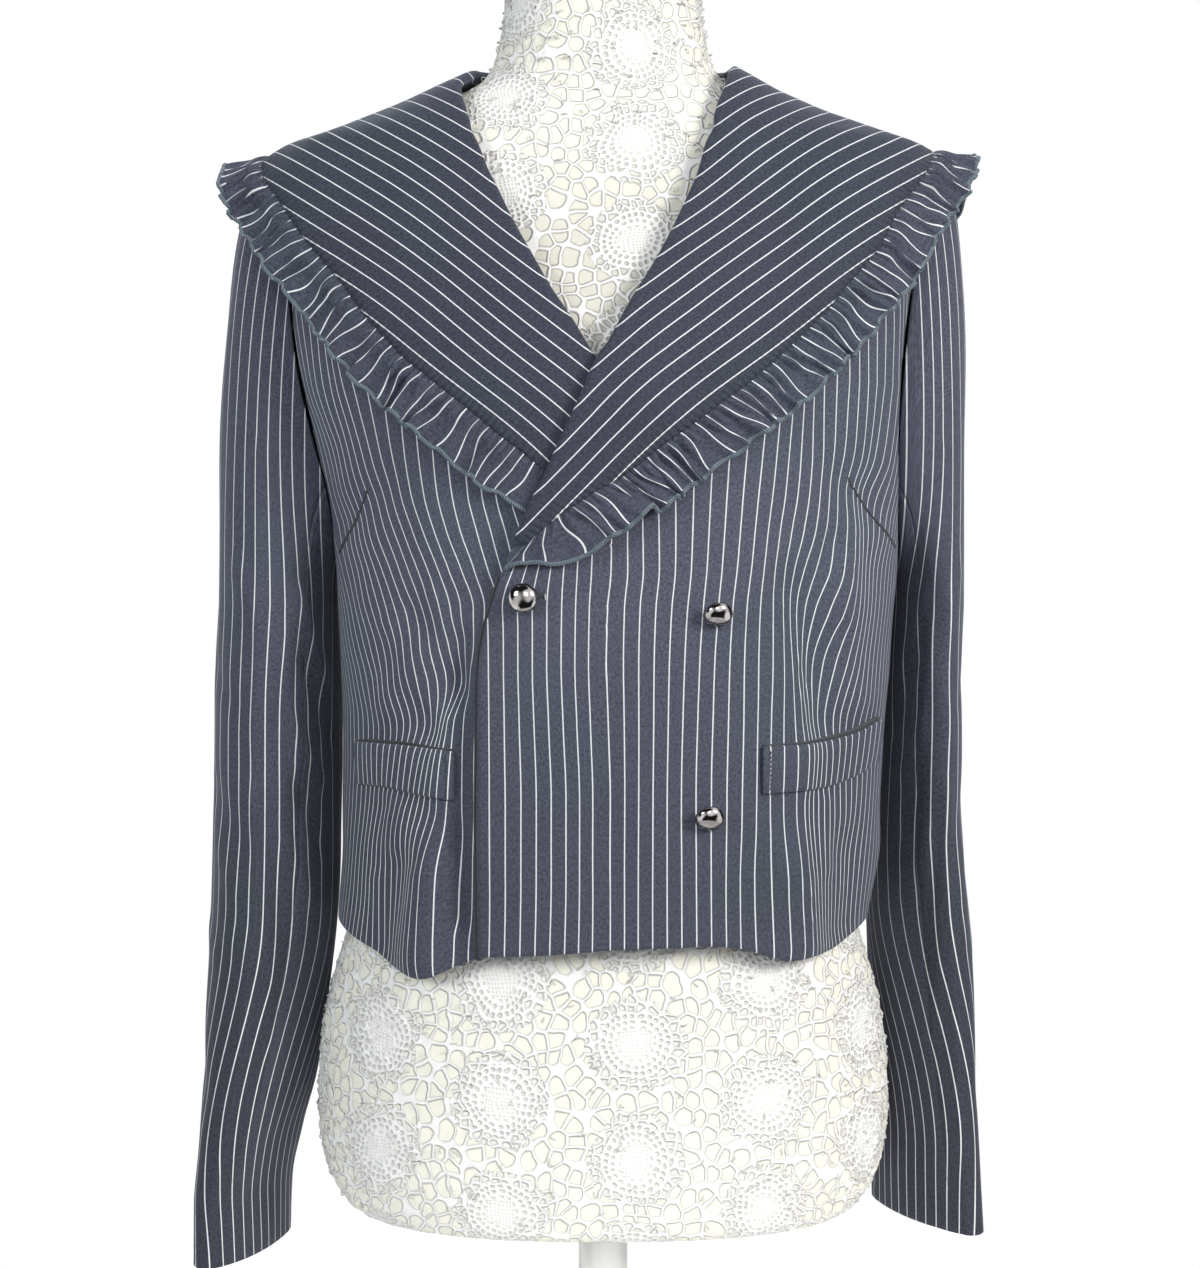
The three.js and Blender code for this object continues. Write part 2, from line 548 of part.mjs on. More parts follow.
// Cross-section of the collar wall from the neckline seam over the fold to the outer seam, as
// distances from the fold and heights, for one of its two faces.
function collarProfile(rib, face) {
  const middle = CLOTH / 2;
  const points = [{ from: rib.stand, height: -middle }];
  for (let turn = 0; turn <= 180; turn += 60) {
    const from = rib.radius * (1 - Math.sin(degrees(turn)));
    points.push({ from, height: -middle + rib.radius * (1 - Math.cos(degrees(turn))) });
  }
  const top = 2 * rib.radius - middle;
  for (let part = 1; part <= FALL_STEPS; part += 1) {
    points.push({ from: mix(rib.radius, rib.width, part / FALL_STEPS), height: top });
  }
  return points.map((point, i) => {
    const before = points[Math.max(0, i - 1)];
    const after = points[Math.min(points.length - 1, i + 1)];
    const run = { from: after.from - before.from, height: after.height - before.height };
    const offset = (face * middle) / Math.hypot(run.from, run.height);
    return { from: point.from - run.height * offset, height: point.height + run.from * offset };
  });
}

function collarGrid(face) {
  return RIB_DISTANCES.map((distance) => {
    const rib = ribAt(distance);
    return collarProfile(rib, face).map((point) => {
      const lift = collarLift(distance, ribPoint(rib, point.from, 0));
      return ribPoint(rib, point.from, point.height + lift);
    });
  });
}

const collar = () => wall(collarGrid(1), collarGrid(-1));

// ---- Neckline: where the collar is sewn to the fronts and the back ----
const NECKLINE = Array.from({ length: NECK_STEPS + 1 }, (_, i) => {
  const distance = (COLLAR_LENGTH * i) / NECK_STEPS;
  const rib = ribAt(distance);
  const point = ribPoint(rib, rib.stand + CURVED_SEAM, 0);
  const side = distance <= BACK_MIDDLE ? 1 : -1;
  const share = (Math.abs(point.x) / halfWidth(point.z, point.x, false)) ** (ROUNDNESS / 2);
  const angle = Math.asin(clamp(share, 0, 1)) * Math.sign(side * point.x);
  return { side, x: point.x, z: point.z, angle: point.y < 0 ? angle : Math.PI - angle };
});

// The neckline of one side, as rows sorted from the front end upwards, or from the shoulder to the
// middle of the back.
function necklineRows(side, face) {
  const half = NECKLINE.filter((row) => row.side === side);
  const rows = side > 0 ? half : half.reverse();
  const top = rows.findIndex((row) => row.angle > Math.PI / 2);
  return face === "front" ? rows.slice(0, top) : rows.slice(top);
}

function readLine(rows, key, at, column) {
  const last = rows.length - 1;
  const found = rows.findIndex((row) => row[key] > at);
  const k = found < 0 ? last : clamp(found, 1, last);
  const t = (at - rows[k - 1][key]) / (rows[k][key] - rows[k - 1][key]);
  return mix(rows[k - 1][column], rows[k][column], clamp(t, 0, 1));
}

// ---- Body panels ----
// Half an armhole seen from the side: its depth before (or behind) the side line at a height.
function armholeDepth(z, face) {
  const cosine = clamp((z - ARMHOLE.middle) / ARMHOLE.halfHeight, -1, 1);
  return ARMHOLE[face] * Math.sqrt(1 - cosine ** 2) * (1 - ARMHOLE.egg * cosine);
}

// Angle of a panel's outer edge: side seam, armhole or shoulder seam, whichever is at that height.
function outerAngle(z, face) {
  const depth = z < SHOULDER_TIP ? armholeDepth(z, face) : 0;
  return depthAngle(Math.max(depth, 0) + SEAM / 2, z, face);
}

const hemHeight = (x, face) => readTable(face === "front" ? FRONT_HEM : BACK_HEM, "x", x, "z");

// Rows of the body panels, from hem to shoulder: close at the underarm, where the armhole turns.
const LOW_LEVELS = [250, 276, 303, 330, 362, 394, 425, 449, 452.2, 456.5, 464, 478];
const LEVELS = [...LOW_LEVELS, 498, 522, 548, 574, 600, 626, 650, 670, SHOULDER_TIP];

// Own angle of a front's inner edge: the free edge below, and the neckline above.
function innerAngle(side, z, neck) {
  const offTip = z > neck[0].z + 4 ? 0 : 0.025; // room beside the collar's tip
  if (z > neck[0].z) return readLine(neck, "z", z, "angle") + offTip;
  const edge = side > 0 ? LEFT_EDGE : RIGHT_EDGE;
  return reachAngle(side, side * readTable(edge, "z", z, "x"), z, "front");
}

function front(side) {
  const neck = necklineRows(side, "front");
  const top = neck[neck.length - 1].z;
  const heights = [...LEVELS, mix(SHOULDER_TIP, top, 1 / 3), mix(SHOULDER_TIP, top, 2 / 3), top];
  const face = (inwards) => heights.map((level) => Array.from({ length: FRONT_COLUMNS + 1 }, (_, j) => {
    const inner = innerAngle(side, level, neck);
    const outer = outerAngle(level, "front");
    const angle = angleAlong(side * inner, side * outer, level, j / FRONT_COLUMNS);
    const hem = hemHeight(surface(angle, level, false).x, "front");
    const share = (level - HEM_LEVEL) / (FREE_HEM_TOP - HEM_LEVEL);
    const z = level < FREE_HEM_TOP ? mix(hem, FREE_HEM_TOP, share) : level;
    return above(angle, z, frontHeight(side, angle, z) - inwards);
  }));
  return wall(face(0), face(CLOTH));
}

function back() {
  const neck = { 1: necklineRows(1, "back"), [-1]: necklineRows(-1, "back") };
  const crown = [1 / 3, 2 / 3, 1].map((share) => SHOULDER_TIP + share);
  const point = (level, share, inwards) => {
    const side = share <= 0.5 ? 1 : -1;
    const own = Math.abs(1 - 2 * share);
    const base = Math.min(level, SHOULDER_TIP);
    let angle = side * angleAlong(side * Math.PI, side * outerAngle(base, "back"), base, own);
    let z = base;
    if (level > SHOULDER_TIP) {
      const edge = outerAngle(SHOULDER_TIP + 1, "back");
      angle = mix(Math.PI, edge, own);
      const rows = neck[side];
      const top = readLine(rows, "angle", Math.max(angle, rows[0].angle), "z") - SEAM;
      z = mix(SHOULDER_TIP, top, level - SHOULDER_TIP);
    }
    if (level < FREE_HEM_TOP) {
      const hem = hemHeight(surface(side * angle, level, false).x, "back");
      z = mix(hem, FREE_HEM_TOP, (level - HEM_LEVEL) / (FREE_HEM_TOP - HEM_LEVEL));
    }
    return above(side * angle, z, foldHeight(side * angle, z) - inwards);
  };
  const row = (level, inwards) =>
    Array.from({ length: BACK_COLUMNS + 1 }, (_, j) => point(level, j / BACK_COLUMNS, inwards));
  const face = (inwards) => [...LEVELS, ...crown].map((level) => row(level, inwards));
  return wall(face(0), face(CLOTH));
}

// ---- Ruffles: strips gathered onto the collar's outer seam ----
// end: distance of a strip's front end from the collar's, shoulder: rib at the shoulder's tip, counted
// from that end; calm, calmFrom, calmTo: how small the strip is at that end, and where it grows.
// The left strip's end lies round the collar's tip; the right one's is covered by the upper front.
const LEFT_STRIP = { end: 1, shoulder: 13, calm: 0.3, calmFrom: 0, calmTo: 34 };
const RIGHT_STRIP = { end: 6, shoulder: 10, calm: 0.12, calmFrom: 6, calmTo: 30 };
const NARROW_SHARE = 0.45; // width of a strip where it is fully calm
const SHOULDER_FLARE = { turn: 34, reach: 45 }; // degrees that a strip stands out from the sleeve head

// The collar's outer seam as its ribs' end points, which the strips follow straight between ribs.
const OUTER_SEAM = RIB_DISTANCES.map((distance) => {
  const rib = ribAt(distance);
  const edge = ribPoint(rib, rib.width, 0);
  const height = 2 * rib.radius - CLOTH / 2 + collarLift(distance, edge);
  const inside = ribPoint(rib, rib.width - ROLL_RADIUS, 0);
  const normal = surfaceNormal(rib.seam, rib.seamZ, true);
  return { distance, place: ribPoint(rib, rib.width, height), out: edge.sub(inside).normalize(), normal };
});

function seamAt(distance) {
  const k = clamp(OUTER_SEAM.findIndex((row) => row.distance > distance), 1, OUTER_SEAM.length - 1);
  const [before, after] = [OUTER_SEAM[k - 1], OUTER_SEAM[k]];
  const part = (distance - before.distance) / (after.distance - before.distance);
  const between = (column) => before[column].clone().lerp(after[column], part);
  return { place: between("place"), out: between("out"), normal: between("normal") };
}

function ruffle(side, { end, shoulder, calm, calmFrom, calmTo }) {
  const ownDistance = (distance) => (side > 0 ? distance : COLLAR_LENGTH - distance);
  const middle = ownDistance(BACK_MIDDLE) - SEAM;
  const tip = ownDistance(RIBS[side > 0 ? shoulder : RIBS.length - 1 - shoulder].distance);
  const waves = Math.round(((middle - end) * RUFFLE_STRETCH) / WAVE_LENGTH);
  const strip = (share, outwards) => {
    const own = mix(end, middle, share);
    const { place, out, normal } = seamAt(ownDistance(own));
    const grown = mix(calm, 1, smooth(own, calmFrom, calmTo));
    const flare = degrees(SHOULDER_FLARE.turn) * Math.exp(-(((own - tip) / SHOULDER_FLARE.reach) ** 2));
    const up = normal.addScaledVector(out, -normal.dot(out)).normalize();
    const away = out.clone().multiplyScalar(Math.cos(flare)).addScaledVector(up, Math.sin(flare));
    up.addScaledVector(away, -up.dot(away)).normalize();
    const phase = share * waves;
    const uneven = 1 + 0.35 * Math.sin(1.7 * phase) + 0.2 * Math.sin(0.61 * phase + 1);
    const swing = WAVE_HEIGHT * uneven * grown * Math.sin(2 * Math.PI * phase + Math.sin(phase));
    const reach = RUFFLE_WIDTH * mix(NARROW_SHARE, 1, grown) * outwards;
    place.addScaledVector(out, RUFFLE_SEAM).addScaledVector(away, reach);
    return place.addScaledVector(up, outwards * (swing + RUFFLE_RISE));
  };
  const sheet = grid(waves * WAVE_STEPS, 1, strip);
  const normal = (i, j) => {
    const last = sheet.length - 1;
    const run = sheet[Math.min(last, i + 1)][j].clone().sub(sheet[Math.max(0, i - 1)][j]);
    const across = sheet[i][1].clone().sub(sheet[i][0]);
    return run.cross(across).normalize().multiplyScalar(side);
  };
  const face = (sign) => sheet.map((row, i) => row.map((point, j) =>
    point.clone().addScaledVector(normal(i, j), (sign * RUFFLE_CLOTH) / 2)));
  return wall(face(1), face(-1));
}

// ---- Sleeves ----
function armholePoint(side, turn) {
  const z = ARMHOLE.middle + (ARMHOLE.halfHeight - CURVED_SEAM) * Math.cos(turn);
  const face = Math.sin(turn) >= 0 ? "front" : "back";
  const egg = 1 - ARMHOLE.egg * Math.cos(turn);
  const depth = (ARMHOLE[face] - CURVED_SEAM) * Math.abs(Math.sin(turn)) * egg;
  return above(side * depthAngle(depth, z, face), z, RIM_LIFT);
}

// Point of a level section: turn 0 is its outer side and 90 degrees its front.
function sleeveSection(table, side, turn, z) {
  const read = (column) => readTable(table.slice().reverse(), "z", z, column);
  const out = read("wide") * Math.cos(turn);
  const fore = read("deep") * Math.sin(turn);
  const twist = degrees(read("turn"));
  const x = read("x") + out * Math.cos(twist) + fore * Math.sin(twist);
  const y = read("y") - fore * Math.cos(twist) + out * Math.sin(twist);
  return new THREE.Vector3(side * x, y, z);
}

// Point of a sleeve: level 0 is the armhole, 1 the end of the sleeve head and 2 the cuff.
function sleevePoint(table, side, turn, level) {
  const first = table[0].z;
  const last = table[table.length - 1].z;
  if (level > 1) return sleeveSection(table, side, turn, mix(first, last, level - 1));
  const angle = Math.abs(((((turn * 180) / Math.PI + 180) % 360) + 360) % 360 - 180);
  const head = (column) => readTable(SLEEVE_HEAD, "angle", angle, column);
  const start = armholePoint(side, turn);
  const end = sleeveSection(table, side, turn, first);
  const forward = Math.sin(turn) >= 0 ? -1 : 1;
  const out = new THREE.Vector3(side * head("out"), forward * head("fore"), -head("drop"));
  const leave = start.clone().add(out);
  const arrive = end.clone().add(new THREE.Vector3(0, 0, head("rise")));
  return new THREE.CubicBezierCurve3(start, leave, arrive, end).getPoint(level);
}

function sleeveFold(turn, z) {
  const angle = ((turn * 180) / Math.PI + 360) % 360;
  const share = (fold) => foldShare(angle, z, fold.from, fold.z1, fold.to, fold.z2, fold.half);
  return SLEEVE_FOLDS.reduce((total, fold) => total + fold.height * share(fold), 0);
}

function sleevePiece(table, side, fromTurn, toTurn, columns) {
  const levels = [];
  for (let i = 0; i < SLEEVE_ROWS.head; i += 1) levels.push(i / SLEEVE_ROWS.head);
  for (let i = 0; i <= SLEEVE_ROWS.arm; i += 1) levels.push(1 + i / SLEEVE_ROWS.arm);
  const point = (level, share, inwards) => {
    const turn = degrees(mix(fromTurn, toTurn, share));
    const here = sleevePoint(table, side, turn, level);
    const step = 0.004;
    const low = clamp(level, step, 2 - step);
    const at = (turned, lowered) => sleevePoint(table, side, turned, lowered);
    const around = at(turn + step, low).sub(at(turn - step, low));
    const down = at(turn, low + step).sub(at(turn, low - step));
    const normal = around.cross(down).normalize().multiplyScalar(-side);
    return here.addScaledVector(normal, sleeveFold(turn, here.z) * smooth(level, 0.1, 0.6) - inwards);
  };
  const face = (inwards) => levels.map((level) =>
    Array.from({ length: columns + 1 }, (_, j) => point(level, j / columns, inwards)));
  return wall(face(0), face(CLOTH));
}

// ---- Pocket welts ----
function welt(side, table) {
  const first = table[0].x;
  const last = table[table.length - 1].x;
  const face = (inwards) => grid(WELT_STEPS.up, WELT_STEPS.along, (up, along) => {
    const x = mix(first, last, along);
    const z = mix(readTable(table, "x", x, "lower"), readTable(table, "x", x, "upper"), up);
    const angle = side * reachAngle(side, side * x, z, "front");
    const gape = readTable(table, "x", x, "gape") * up;
    return above(angle, z, frontHeight(side, angle, z) + WELT_CLEARANCE + CLOTH + gape - inwards);
  });
  return wall(face(0), face(CLOTH));
}

// ---- Buttons ----
function buttonGeometry() {
  const profile = [new THREE.Vector2(0, 0), new THREE.Vector2(SHANK_RADIUS, 0)];
  profile.push(new THREE.Vector2(SHANK_RADIUS, SHANK_HEIGHT));
  profile.push(new THREE.Vector2(BUTTON_RADIUS - 1, SHANK_HEIGHT));
  for (let i = 0; i < 5; i += 1) {
    const turn = degrees(18 * i);
    const height = SHANK_HEIGHT + BUTTON_RIM + BUTTON_DOME * Math.sin(turn);
    profile.push(new THREE.Vector2(BUTTON_RADIUS * Math.cos(turn), height));
  }
  profile.push(new THREE.Vector2(0, SHANK_HEIGHT + BUTTON_RIM + BUTTON_DOME));
  return new THREE.LatheGeometry(profile, 16);
}

function placeButton(mesh, { x, z, nod, sink }) {
  const angle = reachAngle(1, x, z, "front");
  const normal = surfaceNormal(angle, z, false);
  const sideways = new THREE.Vector3(normal.y, -normal.x, 0).normalize();
  const facing = normal.clone().applyAxisAngle(sideways, degrees(-nod));
  if (facing.z > normal.z) facing.copy(normal).applyAxisAngle(sideways, degrees(nod));
  const clear = SEAM - sink + SHANK_RADIUS * Math.sin(degrees(nod));
  mesh.position.copy(above(angle, z, frontHeight(1, angle, z) + clear));
  mesh.quaternion.setFromUnitVectors(new THREE.Vector3(0, 1, 0), facing);
}

// ---- Dress form and stand ----
function torso() {
  const ring = (row) => Array.from({ length: FORM_COLUMNS }, (_, j) => {
    const angle = (2 * Math.PI * j) / FORM_COLUMNS;
    const depth = Math.cos(angle) >= 0 ? row.front : row.back;
    return new THREE.Vector3(row.side * bulge(Math.sin(angle)), -depth * bulge(Math.cos(angle)), row.z);
  });
  return loft(FORM.map(ring));
}

function pole() {
  const bottom = BASE_HEIGHT + SEAM;
  const top = FORM[0].z - SEAM;
  const geometry = new THREE.CylinderGeometry(POLE_RADIUS, POLE_RADIUS, top - bottom, 20);
  geometry.rotateX(Math.PI / 2);
  geometry.translate(0, 0, (top + bottom) / 2);
  return geometry;
}

function base() {
  const profile = [
    new THREE.Vector2(0, 0),
    new THREE.Vector2(STAND_RADIUS, 0),
    new THREE.Vector2(STAND_RADIUS, BASE_HEIGHT / 2),
    new THREE.Vector2(STAND_RADIUS - BASE_HEIGHT / 2, BASE_HEIGHT - 2),
    new THREE.Vector2(2 * POLE_RADIUS, BASE_HEIGHT),
    new THREE.Vector2(0, BASE_HEIGHT),
  ];
  const geometry = new THREE.LatheGeometry(profile, 40);
  geometry.rotateX(Math.PI / 2);
  return geometry;
}

// ---- The part ----
const SUITING = { color: 0x59606c, roughness: 0.9, metalness: 0 };
const GUNMETAL = { color: 0x3a3c40, roughness: 0.2, metalness: 0.9 };
const FORM_COVER = { color: 0xece9e0, roughness: 0.85, metalness: 0 };
const STAND_METAL = { color: 0xd8d8d6, roughness: 0.4, metalness: 0.3 };

const group = new THREE.Group();

function add(name, geometry, look) {
  const mesh = new THREE.Mesh(geometry, new THREE.MeshStandardMaterial(look));
  mesh.name = name;
  group.add(mesh);
  return mesh;
}

add("front_right", front(-1), SUITING);
add("front_left", front(1), SUITING);
add("back", back(), SUITING);
add("collar", collar(), SUITING);
add("ruffle_left", ruffle(1, LEFT_STRIP), SUITING);
add("ruffle_right", ruffle(-1, RIGHT_STRIP), SUITING);
[["right", -1, RIGHT_SLEEVE], ["left", 1, LEFT_SLEEVE]].forEach(([name, side, table]) => {
  const { front: fore, back: aft } = UNDERARM_SEAMS;
  const gap = 0.2; // degrees on each side of a long seam
  const top = sleevePiece(table, side, aft - 360 + gap, fore - gap, SLEEVE_COLUMNS.top);
  const under = sleevePiece(table, side, fore + gap, aft - gap, SLEEVE_COLUMNS.under);
  add(`sleeve_${name}_top`, top, SUITING);
  add(`sleeve_${name}_under`, under, SUITING);
});
add("pocket_welt_right", welt(-1, RIGHT_WELT), SUITING);
add("pocket_welt_left", welt(1, LEFT_WELT), SUITING);
BUTTONS.forEach((button) => placeButton(add(button.name, buttonGeometry(), GUNMETAL), button));
add("form_torso", torso(), FORM_COVER);
add("form_pole", pole(), STAND_METAL);
add("form_base", base(), STAND_METAL);

export default group;
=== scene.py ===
"""Dresses the cropped blazer: pinstripe suiting, gathered collar ruffle, gunmetal buttons, crochet form.

The shape code counts in millimetres, with the wearer facing -Y, the wearer's left at +X and +Z up.
Lengths become metres where a mesh is made. Every surface is a function of two parameters on a grid.
"""

from __future__ import annotations

import logging
import math
from dataclasses import dataclass, field
from enum import Enum

import bmesh
import bpy
import numpy as np
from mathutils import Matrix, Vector

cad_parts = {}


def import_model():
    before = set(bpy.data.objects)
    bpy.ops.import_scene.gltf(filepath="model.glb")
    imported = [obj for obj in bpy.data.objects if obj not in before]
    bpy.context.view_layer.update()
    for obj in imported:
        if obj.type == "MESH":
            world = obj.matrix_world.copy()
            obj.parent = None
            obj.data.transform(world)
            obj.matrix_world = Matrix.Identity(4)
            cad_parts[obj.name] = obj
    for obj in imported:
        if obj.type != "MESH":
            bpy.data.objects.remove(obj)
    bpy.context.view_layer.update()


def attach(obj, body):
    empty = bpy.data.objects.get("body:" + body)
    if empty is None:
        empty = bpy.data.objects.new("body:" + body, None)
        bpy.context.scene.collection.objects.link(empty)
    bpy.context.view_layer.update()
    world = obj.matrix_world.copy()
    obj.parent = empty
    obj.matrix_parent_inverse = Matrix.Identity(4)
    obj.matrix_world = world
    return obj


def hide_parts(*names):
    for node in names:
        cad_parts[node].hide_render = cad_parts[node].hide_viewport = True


Array = np.ndarray
Colour = tuple[float, ...]
Pair = tuple[float, float]
Material = bpy.types.Material
Node = bpy.types.Node
Object = bpy.types.Object
Socket = bpy.types.NodeSocket
LOG = logging.getLogger("blazer")
MM = 0.001
PITCH = 8.07  # from one pinstripe to the next on the flat cloth
STRIPE = 0.63  # width of a pinstripe
TWILL = 0.95  # from one slanting rib of the twill to the next
TWILL_SLANT = 0.62  # how far a rib runs across for each millimetre along
YARN = 0.7  # from one crossing yarn to the next


class Face(Enum):
    """The front or the back half of the body."""

    FRONT = "front"
    BACK = "back"


# ---- Numbers ----
def mix(a: Array | float, b: Array | float, t: Array | float) -> Array:
    """Returns the value a share t of the way from a to b."""
    return a + (np.asarray(b) - a) * t


def smooth(value: Array | float, start: float, end: float) -> Array:
    """Rises smoothly from 0 at start to 1 at end.

    Args:
        value: where the step is read.
        start: place where it is still 0.
        end: place where it has reached 1.

    Returns:
        3t^2 - 2t^3 with t the clamped share of the way.
    """
    t = np.clip((np.asarray(value, float) - start) / (end - start), 0, 1)
    return t * t * (3 - 2 * t)


def unit(vectors: Array) -> Array:
    """Returns the vectors at length one."""
    return vectors / np.maximum(np.linalg.norm(vectors, axis=-1, keepdims=True), 1e-9)


def wobble(u: Array, v: Array, seed: float, length: float) -> Array:
    """Gentle irregular swing between about -1 and 1.

    Args:
        u: one coordinate in millimetres.
        v: the other one.
        seed: shifts the pattern.
        length: typical wavelength in millimetres.

    Returns:
        The mean of four sine waves that run in different directions.
    """
    turn = 2 * math.pi / length
    waves = (
        np.sin(turn * (u + 0.31 * v) + seed),
        np.sin(turn * 0.73 * (v - 0.42 * u) + 2.1 * seed),
        np.sin(turn * 1.37 * (u * 0.8 - v * 0.55) + 3.7 * seed),
        np.sin(turn * 0.51 * (u + 1.2 * v) + 5.3 * seed),
    )
    return sum(waves) / 4


def running_length(steps: Array) -> Array:
    """Returns the way from the first point to each point along a row, from the steps between them."""
    return np.insert(np.cumsum(steps, axis=-1), 0, 0, axis=-1)


def read_rows(xs: Array, rows: Array, at: Array) -> Array:
    """Reads one rising curve per row at a value per row, on straight lines between its points.

    Args:
        xs: rising places along each row, shape (rows, points), each row from 0 to 1.
        rows: the values there, same shape.
        at: the wanted places, shape (rows, wanted), from 0 to 1.

    Returns:
        The values at the wanted places.
    """
    offset = 2.0 * np.arange(len(xs))[:, None]
    flat = np.interp((at + offset).ravel(), (xs + offset).ravel(), rows.ravel())
    return flat.reshape(at.shape)


@dataclass(frozen=True)
class Table:
    """Rows of numbers under named columns, read as smooth curves along the first column."""

    names: tuple[str, ...]
    rows: tuple[tuple[float, ...], ...]

    def column(self, name: str) -> Array:
        """Returns one column as an array."""
        return np.array([row[self.names.index(name)] for row in self.rows], float)

    def read(self, at: Array | float, name: str) -> Array:
        """Reads a column between its rows, with no overshoot.

        Args:
            at: places along the first column.
            name: the column.

        Returns:
            The cubic through the rows whose slope at each row is the harmonic mean of the two beside it.
        """
        return hermite(self.column(self.names[0]), self.column(name), np.asarray(at, float))


def hermite(xs: Array, ys: Array, at: Array) -> Array:
    """Smooth curve through points, without overshoot.

    Args:
        xs: rising places of the points.
        ys: their values.
        at: the wanted places, which are kept within the first and last point.

    Returns:
        The value of the cubic pieces.
    """
    slope = np.diff(ys) / np.diff(xs)
    before, after = slope[:-1], slope[1:]
    same = before * after > 0
    inner = np.where(same, 2 * before * after / np.where(same, before + after, 1), 0)
    tangent = np.concatenate([slope[:1], inner, slope[-1:]])
    at = np.clip(at, xs[0], xs[-1])
    i = np.clip(np.searchsorted(xs, at, side="right") - 1, 0, len(xs) - 2)
    span = xs[i + 1] - xs[i]
    t = (at - xs[i]) / span
    start = (2 * t - 3) * t * t + 1
    turned = span * ((t - 2) * t * t + t) * tangent[i] + span * (t - 1) * t * t * tangent[i + 1]
    return start * ys[i] + (1 - start) * ys[i + 1] + turned


# ---- Meshes ----
@dataclass
class Shell:
    """A closed cloth wall between an outer and an inner grid of points, with its cut coordinates.

    outer, inner: points, shape (rows, columns, 3); cut: place of each point on the flat cloth in
    millimetres, across the pinstripes and along them; bulge: how far the rim stands out, as a share of
    the wall; seam: the way along a gathered seam and the distance from it; laid_flat: whether the
    piece lies smooth, so that its cut is as large as its shape.
    """

    name: str
    outer: Array
    inner: Array
    cut: Array
    bulge: float = 0.4
    seam: Array | None = None
    laid_flat: bool = False

    def rim(self) -> tuple[Array, Array]:
        """Finds the loop round the grid's border.

        Returns:
            The border's flat indices in order, and the indices of the points just inside them.
        """
        rows, columns = self.outer.shape[:2]
        index = np.arange(rows * columns).reshape(rows, columns)
        inside = np.pad(index[1:-1, 1:-1], 1, mode="edge")
        border = ([grid[0, :-1], grid[:-1, -1], grid[-1, :0:-1], grid[:0:-1, 0]] for grid in (index, inside))
        return tuple(np.concatenate(parts) for parts in border)

    def build(self) -> Object:
        """Makes the closed mesh: both faces, and a rounded rim with a loop of its own halfway.

        Returns:
            The new object.
        """
        rows, columns = self.outer.shape[:2]
        count = rows * columns
        outer, inner = self.outer.reshape(-1, 3), self.inner.reshape(-1, 3)
        loop, inside = self.rim()
        middle = (outer + inner) / 2
        wall = np.linalg.norm(outer[loop] - inner[loop], axis=1, keepdims=True)
        rim = middle[loop] + unit(middle[loop] - middle[inside]) * wall * self.bulge
        points = np.concatenate([outer, inner, rim])
        face = grid_faces(rows, columns)
        back = face[:, [0, 3, 2, 1]] + count
        here = np.arange(len(loop))
        after = np.roll(here, -1)
        ring = 2 * count
        upper = np.stack([loop, ring + here, ring + after, loop[after]], axis=1)
        lower = np.stack([ring + here, count + loop, count + loop[after], ring + after], axis=1)
        cut = self.cut.reshape(-1, 2)
        ease = np.repeat(self.ease().reshape(-1, 1), 2, axis=1)
        layers = {
            "Cut": np.concatenate([cut, cut, cut[loop]]),
            "Ease": np.concatenate([ease, ease, ease[loop]]),
        }
        if self.seam is not None:
            seam = self.seam.reshape(-1, 2)
            layers["Seam"] = np.concatenate([seam, seam, seam[loop]])
        return make_mesh(self.name, points, np.concatenate([face, back, upper, lower]), layers)

    def ease(self) -> Array:
        """Measures how closely the pinstripes are pushed together at each point.

        Returns:
            The slope of the way across the cloth over the worn shape, from the lengths of the grid's steps.
        """
        rows, columns = np.gradient(self.outer, axis=0), np.gradient(self.outer, axis=1)
        down, over = np.gradient(self.cut[..., 0], axis=0), np.gradient(self.cut[..., 0], axis=1)
        pairs = ((rows, rows), (rows, columns), (columns, columns))
        e, f, g = ((a * b).sum(axis=-1) for a, b in pairs)
        square = (g * down**2 - 2 * f * down * over + e * over**2) / np.maximum(e * g - f * f, 1e-6)
        return np.clip(np.sqrt(np.maximum(square, 0)), 0.6, 3.6)

    def flat(self) -> tuple[Pair, float]:
        """Measures the flat cut from the cut coordinates.

        Returns:
            Its width and length, and its area, in metres.
        """
        if self.laid_flat:
            width, length = (
                float(np.linalg.norm(np.diff(self.outer, axis=k), axis=-1).sum(axis=k).mean()) * MM
                for k in (1, 0)
            )
            return (width, length), width * length
        u, v = self.cut[..., 0], self.cut[..., 1]
        one = (u[1:, 1:] - u[:-1, :-1]) * (v[1:, :-1] - v[:-1, 1:])
        two = (u[1:, :-1] - u[:-1, 1:]) * (v[1:, 1:] - v[:-1, :-1])
        area = float(np.abs(one - two).sum() / 2) * MM * MM
        width, length = float(np.ptp(u)) * MM, float(np.ptp(v)) * MM
        return (width, length), min(max(area, 0.31 * width * length), width * length)


def grid_faces(rows: int, columns: int) -> Array:
    """Returns the quads of a grid of points that is numbered row by row."""
    index = np.arange(rows * columns).reshape(rows, columns)
    corner = (index[:-1, :-1], index[:-1, 1:], index[1:, 1:], index[1:, :-1])
    return np.stack(corner, axis=-1).reshape(-1, 4)


